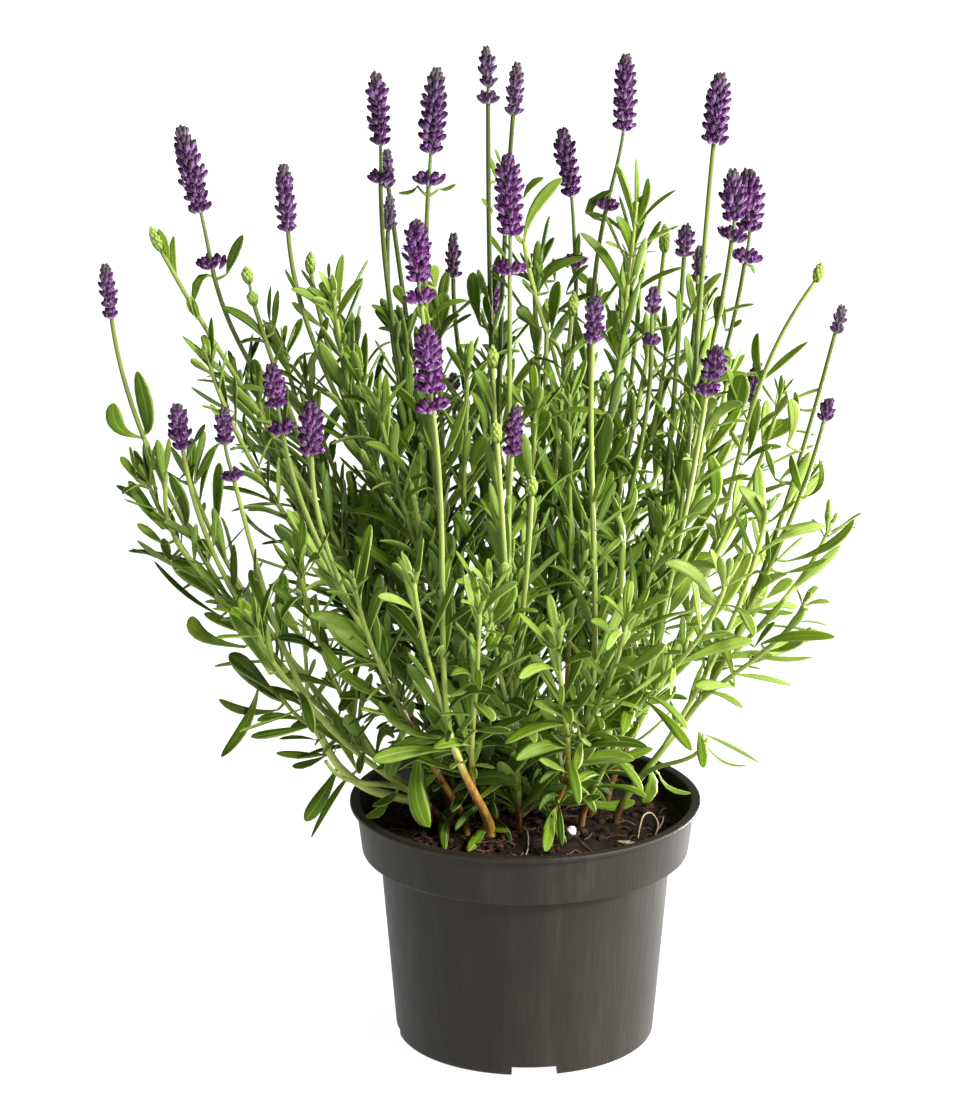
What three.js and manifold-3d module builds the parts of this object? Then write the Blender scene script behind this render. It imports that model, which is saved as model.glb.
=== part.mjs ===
// Potted lavender: a bush of narrow-leaved lavender in flower, in a dark plastic nursery pot.
// Millimetres, +Z up. The origin is the middle of the pot's underside, and -Y is the front.
// Each leafy stem stands in its own hole in the soil. It carries leaf pairs, leafless flower
// stalks and green buds, fused into one solid. Each purple flower spike is a solid of its own,
// seated on the end of its stalk.
import * as THREE from 'three';
import { mergeVertices } from 'three/addons/utils/BufferGeometryUtils.js';
import Module from 'manifold-3d';

const wasm = await Module();
wasm.setup();

const { cos, sin, PI, hypot, max, min, round, floor } = Math;
const point = (x, y, z) => new THREE.Vector3(x, y, z);
const UP = point(0, 0, 1);
const along = (a, b, t) => a.clone().lerp(b, t);

// A repeatable number from 0 to 1 for any three counts.
function chance(a, b, c) {
  const n = sin(a * 12.9898 + b * 78.233 + c * 37.719) * 43758.5453;
  return n - floor(n);
}

// Pot
const POT_HEIGHT = 120;
const WALL = 1.8;
const RIM_RADIUS = 85;
const LIP_HEIGHT = 2.6;
const COLLAR_TOP_RADIUS = 82;
const COLLAR_FOOT_RADIUS = 79;
const COLLAR_FOOT_Z = 94;
const BODY_TOP_RADIUS = 70.6;
const BODY_FOOT_RADIUS = 62.6;
const FOOT_BEVEL = 1.6;
const FLOOR_LIFT = 5;
const CENTRE_PAD_RADIUS = 22;
const FOOT_RING_WIDTH = 8;
const POT_SIDES = 28;
const NOTCH_WIDTH = 22;
const NOTCH_TURN = 4 * PI / 180;
const NOTCH_COUNT = 4;
const DRAIN_RADIUS = 4;
const DRAIN_CIRCLE = 38;
const DRAIN_COUNT = 6;

// Soil
const FIT = 0.3;
const SOIL_EDGE_Z = 106.5;
const SOIL_MIDDLE_Z = 109.5;
const HOLE_DEPTH = 20;
const HOLE_SIDES = 5;

// Stems
const TRUNK_SIDES = 4;
const TRUNK_SECTIONS = 4;
const STALK_SIDES = 3;
const TRUNK_FOOT_RADIUS = 2.5;
const TRUNK_TOP_RADIUS = 1.7;
const STALK_FOOT_RADIUS = 1.5;
const STALK_TOP_RADIUS = 1.1;
const SECTION_LENGTH = 85;
const FORK_SPREAD = 0.34;

// Leaves
const TRUNK_PAIRS = 2;
const SHOOT_PAIRS = 1;
const TRUNK_LEAF = 46;
const SHOOT_LEAF = 42;
const CROWN_LEAF = 26;
const LEAF_THICKNESS = 1.1;
const ROOT_SINK = 0.4;
const CROWN_SINK = 3;
const LEAF_CLEARANCE = 0.7;
const STEM_CLEARANCE = 1.2;

// Flower spikes
const FLORETS_ROUND = 5;
const WHORL_HEIGHT = 5.2;
const CORE_SHARE = 0.5;

// Every flowering or leafy shoot, grouped by the stem that carries it. foot is where the stem
// leaves the soil (x, y), and fork is where its shoots part. A spike's path is stalk end, neck
// (only where a lower whorl stands apart) and tip; wide is its greatest width. A bud has its
// foot and tip, and a leafy tip has the one point where its topmost leaves spring from.
const STEMS = {
  far_left: {
    foot: [-46, -8], fork: [-136, -40, 226],
    spikes: {
      spike_far_left: { path: [[-194, -20, 364], [-197, -20, 391]], wide: 11 },
      spike_low_left: { path: [[-159, -60, 312], [-162, -60, 335]], wide: 12 },
    },
    tips: [[-178, -44, 296], [-126, -62, 182]],
  },
  left_front: {
    foot: [-38, -17], fork: [-100, -62, 186],
    spikes: {
      spike_left_front: { path: [[-135, -70, 300], [-139, -70, 317], [-139, -70, 336]], wide: 11 },
    },
    tips: [[-126, -92, 240], [-88, -84, 152]],
  },
  left_middle: {
    foot: [-36, -2], fork: [-84, 0, 236],
    spikes: {},
    buds: [
      [[-172, 10, 390], [-177, 10, 402]],
      [[-129, 20, 361], [-133, 20, 380]],
    ],
    tips: [[-150, -6, 342]],
  },
  left_back: {
    foot: [-34, 16], fork: [-80, 40, 240],
    spikes: {
      spike_tall_left: { path: [[-149, 30, 376], [-154, 30, 403], [-163, 30, 445]], wide: 16 },
    },
    tips: [[-140, 62, 316]],
  },
  left_inner: {
    foot: [-26, 2], fork: [-62, 10, 250],
    spikes: {
      spike_left_inner: { path: [[-112, 10, 398], [-114, 10, 432]], wide: 12 },
    },
    buds: [[[-103, 50, 369], [-103, 50, 380]]],
    tips: [[-92, 20, 362]],
  },
  front_left: {
    foot: [-28, -22], fork: [-62, -66, 196],
    spikes: {
      spike_front_left_a: { path: [[-113, -60, 320], [-115, -60, 332], [-118, -60, 354]], wide: 13 },
      spike_front_left_b: { path: [[-99, -80, 315], [-99, -80, 342]], wide: 14 },
    },
    tips: [[-80, -98, 262]],
  },
  front: {
    foot: [-17, -24], fork: [-36, -84, 182],
    spikes: {
      spike_front: { path: [[-43, -110, 345], [-44, -110, 353], [-46, -110, 386]], wide: 15 },
    },
    tips: [[-52, -118, 268]],
  },
  middle_left_back: {
    foot: [-22, 16], fork: [-48, 46, 252],
    spikes: {
      spike_tall_b: { path: [[-69, 40, 415], [-69, 40, 433], [-71, 40, 469]], wide: 13 },
      spike_dark_high: { path: [[-66, 80, 403], [-67, 80, 423]], wide: 9 },
      spike_dark_low: { path: [[-66, 60, 387], [-65, 60, 405]], wide: 9 },
      spike_hidden_left: { path: [[-61, 66, 338], [-61, 66, 347]], wide: 8 },
    },
    tips: [[-84, 74, 330]],
  },
  middle_left: {
    foot: [-14, -6], fork: [-40, -12, 246],
    spikes: {
      spike_tall_c: { path: [[-46, 20, 419], [-45, 20, 434], [-42, 20, 475]], wide: 16 },
      spike_middle_left: { path: [[-49, -50, 380], [-50, -50, 389], [-51, -50, 419]], wide: 14 },
    },
    tips: [[-28, -4, 338]],
  },
  middle_back: {
    foot: [-6, 26], fork: [-14, 64, 250],
    spikes: {
      spike_tall_d: { path: [[-18, 60, 449], [-18, 60, 457], [-19, 60, 477]], wide: 12 },
      spike_tall_e: { path: [[-6, 80, 439], [-4, 80, 465]], wide: 11 },
      spike_dark_middle: { path: [[-35, 100, 353], [-35, 100, 376]], wide: 10 },
      spike_hidden_middle: { path: [[-35, 92, 298], [-35, 92, 308]], wide: 8 },
    },
    tips: [[-12, 104, 322]],
  },
  middle_front: {
    foot: [-3, -20], fork: [-8, -58, 214],
    spikes: {
      spike_centre: { path: [[-8, -40, 391], [-8, -40, 409], [-9, -40, 448]], wide: 15 },
      spike_half_hidden: { path: [[-7, -60, 309], [-5, -60, 334]], wide: 10 },
    },
    buds: [
      [[-14, -90, 325], [-15, -90, 336]],
      [[2, -84, 298], [2, -84, 308]],
      [[-16, -30, 344], [-16, -30, 355]],
    ],
    tips: [],
  },
  middle: {
    foot: [2, 8], fork: [8, 20, 262],
    spikes: {
      spike_tall_f: { path: [[24, 60, 369], [22, 60, 403], [17, 60, 438]], wide: 13 },
    },
    buds: [[[10, 30, 350], [10, 30, 362]], [[22, 28, 354], [23, 28, 366]]],
    tips: [[4, 48, 372]],
  },
  middle_right: {
    foot: [14, -4], fork: [28, 6, 252],
    spikes: {
      spike_tall_g: { path: [[38, 40, 402], [46, 40, 440], [47, 40, 478]], wide: 14 },
    },
    buds: [[[37, 14, 321], [38, 14, 331]]],
    tips: [[54, 22, 384]],
  },
  front_right: {
    foot: [12, -18], fork: [30, -66, 190],
    spikes: {
      spike_front_right: { path: [[30, -60, 363], [31, -60, 386]], wide: 11 },
    },
    tips: [[46, -104, 248], [64, -72, 282]],
  },
  right_inner: {
    foot: [22, 14], fork: [42, 28, 246],
    spikes: {
      spike_two_tier: { path: [[59, 0, 346], [59, 0, 361], [60, 0, 375]], wide: 9 },
    },
    buds: [[[66, 40, 382], [66, 40, 396]], [[56, 70, 364], [56, 70, 375]]],
    tips: [[48, 66, 334]],
  },
  right_front: {
    foot: [27, -12], fork: [62, -46, 212],
    spikes: {
      spike_tall_h: { path: [[87, 0, 443], [90, 0, 477]], wide: 14 },
      spike_right_front: { path: [[82, -70, 341], [83, -70, 348], [88, -70, 365]], wide: 13 },
    },
    tips: [[92, -94, 262]],
  },
  right_middle: {
    foot: [32, 4], fork: [66, 22, 246],
    spikes: {
      spike_pair_left: { path: [[97, 20, 392], [98, 20, 401], [97, 20, 427]], wide: 13 },
      spike_pair_right: { path: [[105, 50, 374], [107, 50, 389], [106, 50, 420]], wide: 15 },
      spike_small_a: { path: [[75, 30, 381], [76, 30, 398]], wide: 10 },
      spike_small_b: { path: [[83, 60, 361], [84, 60, 380]], wide: 9 },
    },
    tips: [[98, 44, 322]],
  },
  far_right: {
    foot: [44, -6], fork: [98, -22, 204],
    spikes: {
      spike_far_right_low: { path: [[141, -10, 311], [142, -10, 324]], wide: 9 },
      spike_far_right_high: { path: [[148, 20, 346], [149, 20, 361]], wide: 9 },
    },
    tips: [[132, -44, 236], [146, 4, 258], [102, -48, 170]],
  },
  right_back: {
    foot: [40, 20], fork: [88, 40, 222],
    spikes: {
      spike_back_right: { path: [[112, 104, 288], [115, 106, 310]], wide: 10 },
    },
    buds: [[[135, 0, 377], [137, 0, 387]]],
    tips: [[122, 22, 318], [136, 62, 264]],
  },
  back_right: {
    foot: [14, 38], fork: [38, 88, 214],
    spikes: {
      spike_back_a: { path: [[48, 124, 312], [49, 126, 338]], wide: 11 },
    },
    tips: [[78, 112, 286], [20, 134, 268]],
  },
  back_left: {
    foot: [-18, 38], fork: [-54, 88, 212],
    spikes: {
      spike_back_b: { path: [[-86, 118, 302], [-89, 120, 326]], wide: 11 },
      spike_back_c: { path: [[-14, 140, 318], [-14, 143, 342]], wide: 11 },
    },
    tips: [[-124, 92, 268], [-56, 132, 262]],
  },
};

// Closed mesh to solid, and back.
function solid(geometry) {
  const bare = new THREE.BufferGeometry();
  bare.setAttribute('position', geometry.getAttribute('position'));
  bare.setIndex(geometry.index);
  const merged = mergeVertices(bare, 1e-3);
  return new wasm.Manifold(new wasm.Mesh({
    numProp: 3,
    vertProperties: merged.attributes.position.array,
    triVerts: new Uint32Array(merged.index.array),
  }));
}

// The largest body of a solid: a scrap or sealed void that joining left is dropped.
const largest = (body) => body.decompose().reduce((a, b) => (b.volume() > a.volume() ? b : a));

function geometryOf(body) {
  const mesh = body.getMesh();
  const vertices = new Float32Array(mesh.numVert * 3);
  for (let i = 0; i < mesh.numVert; i++) {
    vertices.set(mesh.vertProperties.subarray(i * mesh.numProp, i * mesh.numProp + 3), i * 3);
  }
  const geometry = new THREE.BufferGeometry();
  geometry.setAttribute('position', new THREE.BufferAttribute(vertices, 3));
  geometry.setIndex(new THREE.BufferAttribute(mesh.triVerts, 1));
  geometry.computeVertexNormals();
  return geometry;
}

function closedGeometry(corners, faces) {
  const geometry = new THREE.BufferGeometry();
  geometry.setFromPoints(corners);
  geometry.setIndex(faces.flat());
  return geometry;
}

// A closed profile turned about Z: [radius, z] pairs, outside first.
function turned(profile, sides) {
  const outline = profile.map(([r, z]) => new THREE.Vector2(r, z));
  const lathe = new THREE.LatheGeometry(outline, sides);
  lathe.rotateX(PI / 2);
  return lathe;
}

function prism(radius, bottom, top, sides, x = 0, y = 0) {
  const cylinder = new THREE.CylinderGeometry(radius, radius, top - bottom, sides);
  cylinder.rotateX(PI / 2);
  cylinder.translate(x, y, (top + bottom) / 2);
  return cylinder;
}

// Pot: a thin wall with a stepped collar and lip, a foot ring and a centre pad that stand on
// the ground, and a raised channel between them whose drain holes empty through the notches.
function potGeometry() {
  const insideFoot = BODY_FOOT_RADIUS - FOOT_RING_WIDTH;
  const profile = [
    [0, 0],
    [CENTRE_PAD_RADIUS, 0],
    [CENTRE_PAD_RADIUS + WALL, FLOOR_LIFT],
    [insideFoot, FLOOR_LIFT],
    [insideFoot, 0],
    [BODY_FOOT_RADIUS - FOOT_BEVEL, 0],
    [BODY_FOOT_RADIUS, FOOT_BEVEL],
    [BODY_TOP_RADIUS, COLLAR_FOOT_Z],
    [COLLAR_FOOT_RADIUS, COLLAR_FOOT_Z],
    [COLLAR_TOP_RADIUS, POT_HEIGHT - LIP_HEIGHT],
    [RIM_RADIUS, POT_HEIGHT - LIP_HEIGHT],
    [RIM_RADIUS, POT_HEIGHT],
    [COLLAR_TOP_RADIUS - WALL, POT_HEIGHT],
    [COLLAR_FOOT_RADIUS - WALL, COLLAR_FOOT_Z + WALL],
    [BODY_TOP_RADIUS - WALL, COLLAR_FOOT_Z + WALL],
    [BODY_FOOT_RADIUS - WALL, FLOOR_LIFT + WALL],
    [CENTRE_PAD_RADIUS, FLOOR_LIFT + WALL],
    [CENTRE_PAD_RADIUS - WALL, WALL],
    [0, WALL],
  ];
  let pot = solid(turned(profile, POT_SIDES));
  for (let i = 0; i < NOTCH_COUNT; i++) {
    const depth = FOOT_RING_WIDTH + 4;
    const cut = new THREE.BoxGeometry(depth, NOTCH_WIDTH, 2 * FLOOR_LIFT);
    cut.translate(BODY_FOOT_RADIUS - FOOT_RING_WIDTH / 2, 0, 0);
    cut.rotateZ(-PI / 2 + NOTCH_TURN + i * 2 * PI / NOTCH_COUNT);
    pot = pot.subtract(solid(cut));
  }
  for (let i = 0; i < DRAIN_COUNT; i++) {
    const turn = (i + 0.5) * 2 * PI / DRAIN_COUNT;
    const drill = prism(DRAIN_RADIUS, FLOOR_LIFT - 1, FLOOR_LIFT + WALL + 1, HOLE_SIDES,
      DRAIN_CIRCLE * cos(turn), DRAIN_CIRCLE * sin(turn));
    pot = pot.subtract(solid(drill));
  }
  return geometryOf(pot);
}

const soilTop = (x, y) => SOIL_MIDDLE_Z
  + (SOIL_EDGE_Z - SOIL_MIDDLE_Z) * min(1, (hypot(x, y) / COLLAR_FOOT_RADIUS) ** 2);

// Soil: it fills the pot to just under the collar's top, with one hole for each stem.
function soilGeometry() {
  const edge = COLLAR_FOOT_RADIUS - WALL - FIT
    + (COLLAR_TOP_RADIUS - COLLAR_FOOT_RADIUS) * (SOIL_EDGE_Z - COLLAR_FOOT_Z)
      / (POT_HEIGHT - COLLAR_FOOT_Z);
  const floor = FLOOR_LIFT + WALL + FIT;
  const rings = [0.72, 0.4];
  const profile = [
    [0, WALL + FIT],
    [CENTRE_PAD_RADIUS - WALL - 2 * FIT, WALL + FIT],
    [CENTRE_PAD_RADIUS - 2 * FIT, floor],
    [BODY_FOOT_RADIUS - WALL - FIT, floor],
    [BODY_TOP_RADIUS - WALL - FIT, COLLAR_FOOT_Z + WALL + FIT],
    [COLLAR_FOOT_RADIUS - WALL - FIT, COLLAR_FOOT_Z + WALL + FIT],
    [edge, SOIL_EDGE_Z],
    ...rings.map((share) => [edge * share, soilTop(edge * share, 0)]),
    [0, SOIL_MIDDLE_Z],
  ];
  let soil = solid(turned(profile, POT_SIDES));
  for (const { foot: [x, y] } of Object.values(STEMS)) {
    const radius = (TRUNK_FOOT_RADIUS + FIT) / cos(PI / HOLE_SIDES);
    const bottom = soilTop(x, y) - HOLE_DEPTH - FIT;
    soil = soil.subtract(solid(prism(radius, bottom, POT_HEIGHT, HOLE_SIDES, x, y)));
  }
  return geometryOf(soil);
}

// A closed tapering rod along points, with its section carried along without twist.
function rod(points, radii, sides) {
  const corners = [];
  let side = point(1, 0, 0);
  points.forEach((p, i) => {
    const ahead = points[min(i + 1, points.length - 1)];
    const behind = points[max(i - 1, 0)];
    const axis = ahead.clone().sub(behind).normalize();
    side = side.clone().addScaledVector(axis, -side.dot(axis)).normalize();
    const across = axis.clone().cross(side);
    for (let j = 0; j < sides; j++) {
      const turn = (j + 0.5) * 2 * PI / sides;
      corners.push(p.clone().addScaledVector(side, radii[i] * cos(turn))
        .addScaledVector(across, radii[i] * sin(turn)));
    }
  });
  const faces = [];
  const last = (points.length - 1) * sides;
  for (let i = 0; i < last; i += sides) {
    for (let j = 0; j < sides; j++) {
      const k = (j + 1) % sides;
      faces.push([i + j, i + k, i + sides + k], [i + j, i + sides + k, i + sides + j]);
    }
  }
  for (let j = 1; j < sides - 1; j++) {
    faces.push([0, j + 1, j], [last, last + j, last + j + 1]);
  }
  return closedGeometry(corners, faces);
}

// Where things already are: balls along every line, leaf and spike, each with the node it
// belongs to and its own name there.
const balls = [];
const BALL_GAP = 3;
const ROOT_BALLS = 2;

function ballsAlong(points, radiusAt) {
  const made = [];
  for (let i = 0; i + 1 < points.length; i++) {
    const count = max(1, round(points[i].distanceTo(points[i + 1]) / BALL_GAP));
    for (let j = 0; j <= count; j++) {
      const t = j / count;
      made.push([along(points[i], points[i + 1], t), radiusAt((i + t) / (points.length - 1))]);
    }
  }
  return made;
}

function claim(node, piece, made) {
  for (const [centre, radius] of made) {
    balls.push({ node, piece, centre, radius });
  }
}

const isClear = (made, clearanceTo) => made.every(([centre, radius]) => balls.every((ball) =>
  centre.distanceTo(ball.centre) > radius + ball.radius + clearanceTo(ball)));

// Clear of the soil inside the pot, of the rim, and of the wall outside.
function isClearOfPot(made) {
  return made.every(([p, radius]) => {
    const out = hypot(p.x, p.y);
    const reach = radius + LEAF_CLEARANCE;
    if (out - reach > RIM_RADIUS) {
      return p.z > reach;
    }
    const inside = out + reach < COLLAR_FOOT_RADIUS - WALL;
    return p.z - reach > (inside ? soilTop(p.x, p.y) : POT_HEIGHT);
  });
}

// A stem's centre line: upright out of the soil, then leaning over to the fork.
function trunkLine({ foot: [x, y], fork }) {
  const ground = soilTop(x, y);
  const end = point(...fork);
  const rise = end.z - ground;
  const curve = new THREE.CubicBezierCurve3(
    point(x, y, ground + 1.5),
    point(x, y, ground + 0.16 * rise),
    point(x + (end.x - x) * 0.62, y + (end.y - y) * 0.62, ground + 0.52 * rise),
    end,
  );
  return [point(x, y, ground - HOLE_DEPTH), ...curve.getPoints(TRUNK_SECTIONS)];
}

const lengthOf = (path) => path.slice(1).reduce((sum, p, i) => sum + p.distanceTo(path[i]), 0);

// The place at a share of a line's sections, and the way the line runs there.
function placeOn(line, share) {
  const count = line.length - 1;
  const i = min(floor(share * count), count - 1);
  const place = along(line[i], line[i + 1], share * count - i);
  return { place, way: line[i + 1].clone().sub(line[i]).normalize() };
}

// The tallest shoot carries the trunk on, the others part from it lower down, and a low one
// no higher than halfway to its own end.
function partingShare(trunk, end, rank, count) {
  const spread = 1 - FORK_SPREAD * rank / max(1, count - 1);
  const ground = trunk[1].z;
  const rise = trunk[trunk.length - 1].z - ground;
  return min(spread, max(0.35, 0.62 * (end.z - ground) / rise));
}

// A shoot's centre line: it parts from the trunk on a slant and ends along lean. bow pushes
// its middle aside.
function shootLine({ place, way }, end, lean, bow) {
  const length = place.distanceTo(end);
  const leaving = way.clone().add(end.clone().sub(place).normalize()).normalize();
  const curve = new THREE.CubicBezierCurve3(
    place,
    place.clone().addScaledVector(leaving, length * 0.3).add(bow),
    end.clone().addScaledVector(lean, -length * 0.36).add(bow),
    end,
  );
  return curve.getPoints(max(2, round(length / SECTION_LENGTH)));
}

const radiusBetween = (foot, top) => (t) => foot + (top - foot) * t;
const stalkRadius = radiusBetween(STALK_FOOT_RADIUS, STALK_TOP_RADIUS);
const trunkRadius = radiusBetween(TRUNK_FOOT_RADIUS, TRUNK_TOP_RADIUS);

// Ways to bow a shoot clear of the others, the straightest first.
const BOWS = [point(0, 0, 0)];
for (const size of [6, 12, 18]) {
  for (let i = 0; i < 8; i++) {
    BOWS.push(point(size * cos(i * PI / 4), size * sin(i * PI / 4), 0));
  }
}

function clearShoot(node, piece, parting, end, lean, spike) {
  const clearanceTo = (ball) => (ball.node === node || ball.node === spike ? -Infinity
    : STEM_CLEARANCE);
  for (const bow of BOWS) {
    const line = shootLine(parting, end, lean, bow);
    const made = ballsAlong(line, stalkRadius);
    if (isClear(made, clearanceTo) && isClearOfPot(made.slice(3))) {
      claim(node, piece, made);
      return line;
    }
  }
  throw new Error(`no clear way for a shoot of ${node} to ${end.toArray()}`);
}

// A leaf: a narrow blade, widest past its middle, flat above with a keel below. It leaves its
// stem at one angle and arches away to another.
const LEAF_STATIONS = [0, 0.36, 0.76, 1];
const LEAF_WIDTHS = [0, 0.85, 1, 0];

function leafLine({ root, axis, side, length, open, arch }) {
  const line = [root.clone()];
  for (let i = 1; i < LEAF_STATIONS.length; i++) {
    const middle = (LEAF_STATIONS[i] + LEAF_STATIONS[i - 1]) / 2;
    const angle = open + arch * middle;
    const step = length * (LEAF_STATIONS[i] - LEAF_STATIONS[i - 1]);
    line.push(line[i - 1].clone().addScaledVector(axis, step * cos(angle))
      .addScaledVector(side, step * sin(angle)));
  }
  return line;
}

function leafBlade(leaf) {
  const line = leafLine(leaf);
  const across = leaf.side.clone().cross(leaf.axis).normalize();
  const corners = [line[0].clone().addScaledVector(leaf.side, -ROOT_SINK)];
  for (const i of [1, 2]) {
    const angle = leaf.open + leaf.arch * LEAF_STATIONS[i];
    const below = leaf.axis.clone().multiplyScalar(-sin(angle))
      .addScaledVector(leaf.side, cos(angle));
    const half = leaf.width / 2 * LEAF_WIDTHS[i];
    corners.push(line[i].clone().addScaledVector(across, -half),
      line[i].clone().addScaledVector(across, half),
      line[i].clone().addScaledVector(below, LEAF_THICKNESS));
  }
  corners.push(line[line.length - 1]);
  const faces = [];
  for (let j = 0; j < 3; j++) {
    const k = (j + 1) % 3;
    faces.push([0, 1 + k, 1 + j], [1 + j, 1 + k, 4 + k], [1 + j, 4 + k, 4 + j], [4 + j, 4 + k, 7]);
  }
  return closedGeometry(corners, faces);
}

// Leaf pairs along a centre line, evenly between two shares of it. Each pair stands crosswise
// to the one below. size is the leaf length at mid-stem.
function leafPairs(seed, line, from, to, count, size) {
  const leaves = [];
  for (let k = 0; k < count; k++) {
    const t = from + (to - from) * (k + 0.5) / count;
    const { place: root, way: axis } = placeOn(line, t);
    for (const half of [0, 1]) {
      const turn = (k % 2) * PI / 2 + half * PI + (chance(seed, k, half) - 0.5) * 0.9 + seed;
      leaves.push({
        root,
        axis,
        side: sideAt(axis, turn),
        length: size * (1 - 0.4 * t ** 3) * (0.8 + 0.4 * chance(seed, k, half + 2)),
        width: 5.6 + 2.4 * chance(seed, k, half + 4),
        open: 0.5 + 0.3 * chance(seed, k, half + 6),
        arch: 0.2 + 0.7 * chance(seed, k, half + 8),
      });
    }
  }
  return leaves;
}

function sideAt(axis, turn) {
  const flat = point(cos(turn), sin(turn), 0);
  return flat.addScaledVector(axis, -flat.dot(axis)).normalize();
}

// The last pair of a leafy shoot: two young leaves that stand up from its end.
function crownPair(seed, line) {
  const { place, way: axis } = placeOn(line, 1);
  const root = place.addScaledVector(axis, -CROWN_SINK);
  return [0, 1].map((half) => ({
    root,
    axis,
    side: sideAt(axis, half * PI + seed),
    length: CROWN_LEAF * (0.8 + 0.4 * chance(seed, half, 1)),
    width: 5,
    open: 0.22,
    arch: 0.3,
  }));
}

// Ways to bend a leaf clear of its neighbours, tried in turn: [more opening, turn about stem].
const BENDS = [[0, 0], [0.25, 0], [-0.25, 0], [0, 0.4], [0, -0.4], [0.35, 0.4], [0.35, -0.4],
  [-0.2, 0.7], [-0.2, -0.7], [0.5, 0], [0.2, 1.1], [0.2, -1.1]];

function bentLeaf(node, stalk, leaf) {
  const clearanceTo = (ball) => {
    if (ball.piece === stalk) {
      return -Infinity;
    }
    return ball.node === node ? 0 : LEAF_CLEARANCE;
  };
  for (const [opening, turn] of BENDS) {
    const side = leaf.side.clone().applyAxisAngle(leaf.axis, turn);
    const bent = { ...leaf, side, open: leaf.open + opening };
    const made = ballsAlong(leafLine(bent), (t) => leaf.width / 2 * (t > 0.8 ? 0.6 : 0.9));
    const beyondRoot = made.slice(ROOT_BALLS);
    if (isClear(beyondRoot, clearanceTo) && isClearOfPot(beyondRoot)) {
      claim(node, 'leaf', beyondRoot);
      return bent;
    }
  }
  return null;
}

// A spike as rings of points round its path, every other ring turned by half a step, so that
// four neighbours make a diamond. Each diamond is raised to a pointed floret.
function ringedSolid(path, rings) {
  const curve = new THREE.CatmullRomCurve3(path.length > 2 ? path
    : [path[0], along(path[0], path[1], 0.5), path[1]]);
  const corners = [];
  const faces = [];
  const frames = rings.map(({ t }) => {
    const axis = curve.getTangentAt(t);
    const side = point(1, 0, 0).addScaledVector(axis, -axis.x).normalize();
    return { centre: curve.getPointAt(t), axis, side, across: axis.clone().cross(side) };
  });
  rings.forEach(({ radius }, i) => {
    const { centre, side, across } = frames[i];
    for (let j = 0; j < FLORETS_ROUND; j++) {
      const turn = (j + (i % 2) / 2) * 2 * PI / FLORETS_ROUND;
      corners.push(centre.clone().addScaledVector(side, radius * cos(turn))
        .addScaledVector(across, radius * sin(turn)));
    }
  });
  const at = (i, j) => i * FLORETS_ROUND + (j + FLORETS_ROUND) % FLORETS_ROUND;
  const last = rings.length - 1;
  for (let j = 0; j < FLORETS_ROUND; j++) {
    faces.push([at(0, j), at(0, j + 1), at(1, j)]);
    faces.push([at(last, j + 1), at(last, j), at(last - 1, j + last % 2)]);
  }
  for (let i = 0; i + 2 < rings.length; i++) {
    const { raise } = rings[i + 1];
    const odd = i % 2;
    for (let j = 0; j < FLORETS_ROUND; j++) {
      const low = at(i, j);
      const left = at(i + 1, j - 1 + odd);
      const right = at(i + 1, j + odd);
      const high = at(i + 2, j);
      if (!raise) {
        faces.push([low, right, left], [left, right, high]);
        continue;
      }
      const turn = (j + odd / 2) * 2 * PI / FLORETS_ROUND;
      const { centre, axis, side, across } = frames[i + 1];
      const reach = rings[i + 1].radius + raise;
      corners.push(centre.clone().addScaledVector(side, reach * cos(turn))
        .addScaledVector(across, reach * sin(turn)).addScaledVector(axis, raise * 0.35));
      const tip = corners.length - 1;
      faces.push([low, right, tip], [right, high, tip], [high, left, tip], [left, low, tip]);
    }
  }
  for (let j = 1; j + 1 < FLORETS_ROUND; j++) {
    faces.push([at(0, 0), at(0, j + 1), at(0, j)], [at(last, 0), at(last, j), at(last, j + 1)]);
  }
  return closedGeometry(corners, faces);
}

// A head narrows towards its tip, and a little towards its foot.
const headShape = (u) => min(1, 0.72 + 1.6 * u) * (1 - 0.5 * u ** 2.2);

// Rings of a flower spike: a lower whorl on its bare stretch of stalk where the path has a
// neck, then the whorls of the head.
function spikeRings(path, wide) {
  const whole = lengthOf(path);
  const reach = wide / 2;
  const core = reach * CORE_SHARE;
  const rings = [];
  let start = 0;
  if (path.length > 2) {
    start = path[0].distanceTo(path[1]) / whole;
    const whorl = min(5.5, start * whole * 0.7);
    rings.push({ t: 0, radius: STALK_TOP_RADIUS, raise: 0 });
    rings.push({ t: whorl * 0.5 / whole, radius: core * 0.85, raise: reach - core });
    rings.push({ t: whorl / whole, radius: STALK_TOP_RADIUS * 1.3, raise: 0 });
    rings.push({ t: (start + whorl / whole) / 2, radius: STALK_TOP_RADIUS, raise: 0 });
  }
  const head = whole * (1 - start);
  const count = max(3, round(head / WHORL_HEIGHT));
  for (let i = 0; i <= count; i++) {
    const u = i / count;
    const end = i === 0 || i === count;
    const shape = headShape(u);
    rings.push({
      t: start + (1 - start) * u,
      radius: i === 0 ? STALK_TOP_RADIUS * 1.3 : core * shape * (i === count ? 0.4 : 1),
      raise: end ? 0 : (reach - core) * shape,
    });
  }
  return rings;
}

function spikeGeometry(path, wide) {
  const lift = path[1].clone().sub(path[0]).setLength(FIT);
  const raised = [path[0].clone().add(lift), ...path.slice(1)];
  return ringedSolid(raised, spikeRings(raised, wide));
}

// A green bud: one short whorl, sunk onto its stalk.
const BUD_WIDTH = 6.4;

function budGeometry(foot, tip) {
  const reach = BUD_WIDTH / 2;
  const rings = [
    { t: 0, radius: reach * 0.4, raise: 0 },
    { t: 0.5, radius: reach * 0.75, raise: reach * 0.25 },
    { t: 1, radius: reach * 0.3, raise: 0 },
  ];
  return ringedSolid([foot, tip], rings);
}

function finish(color, roughness) {
  return new THREE.MeshStandardMaterial({ color, roughness, metalness: 0 });
}

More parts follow.
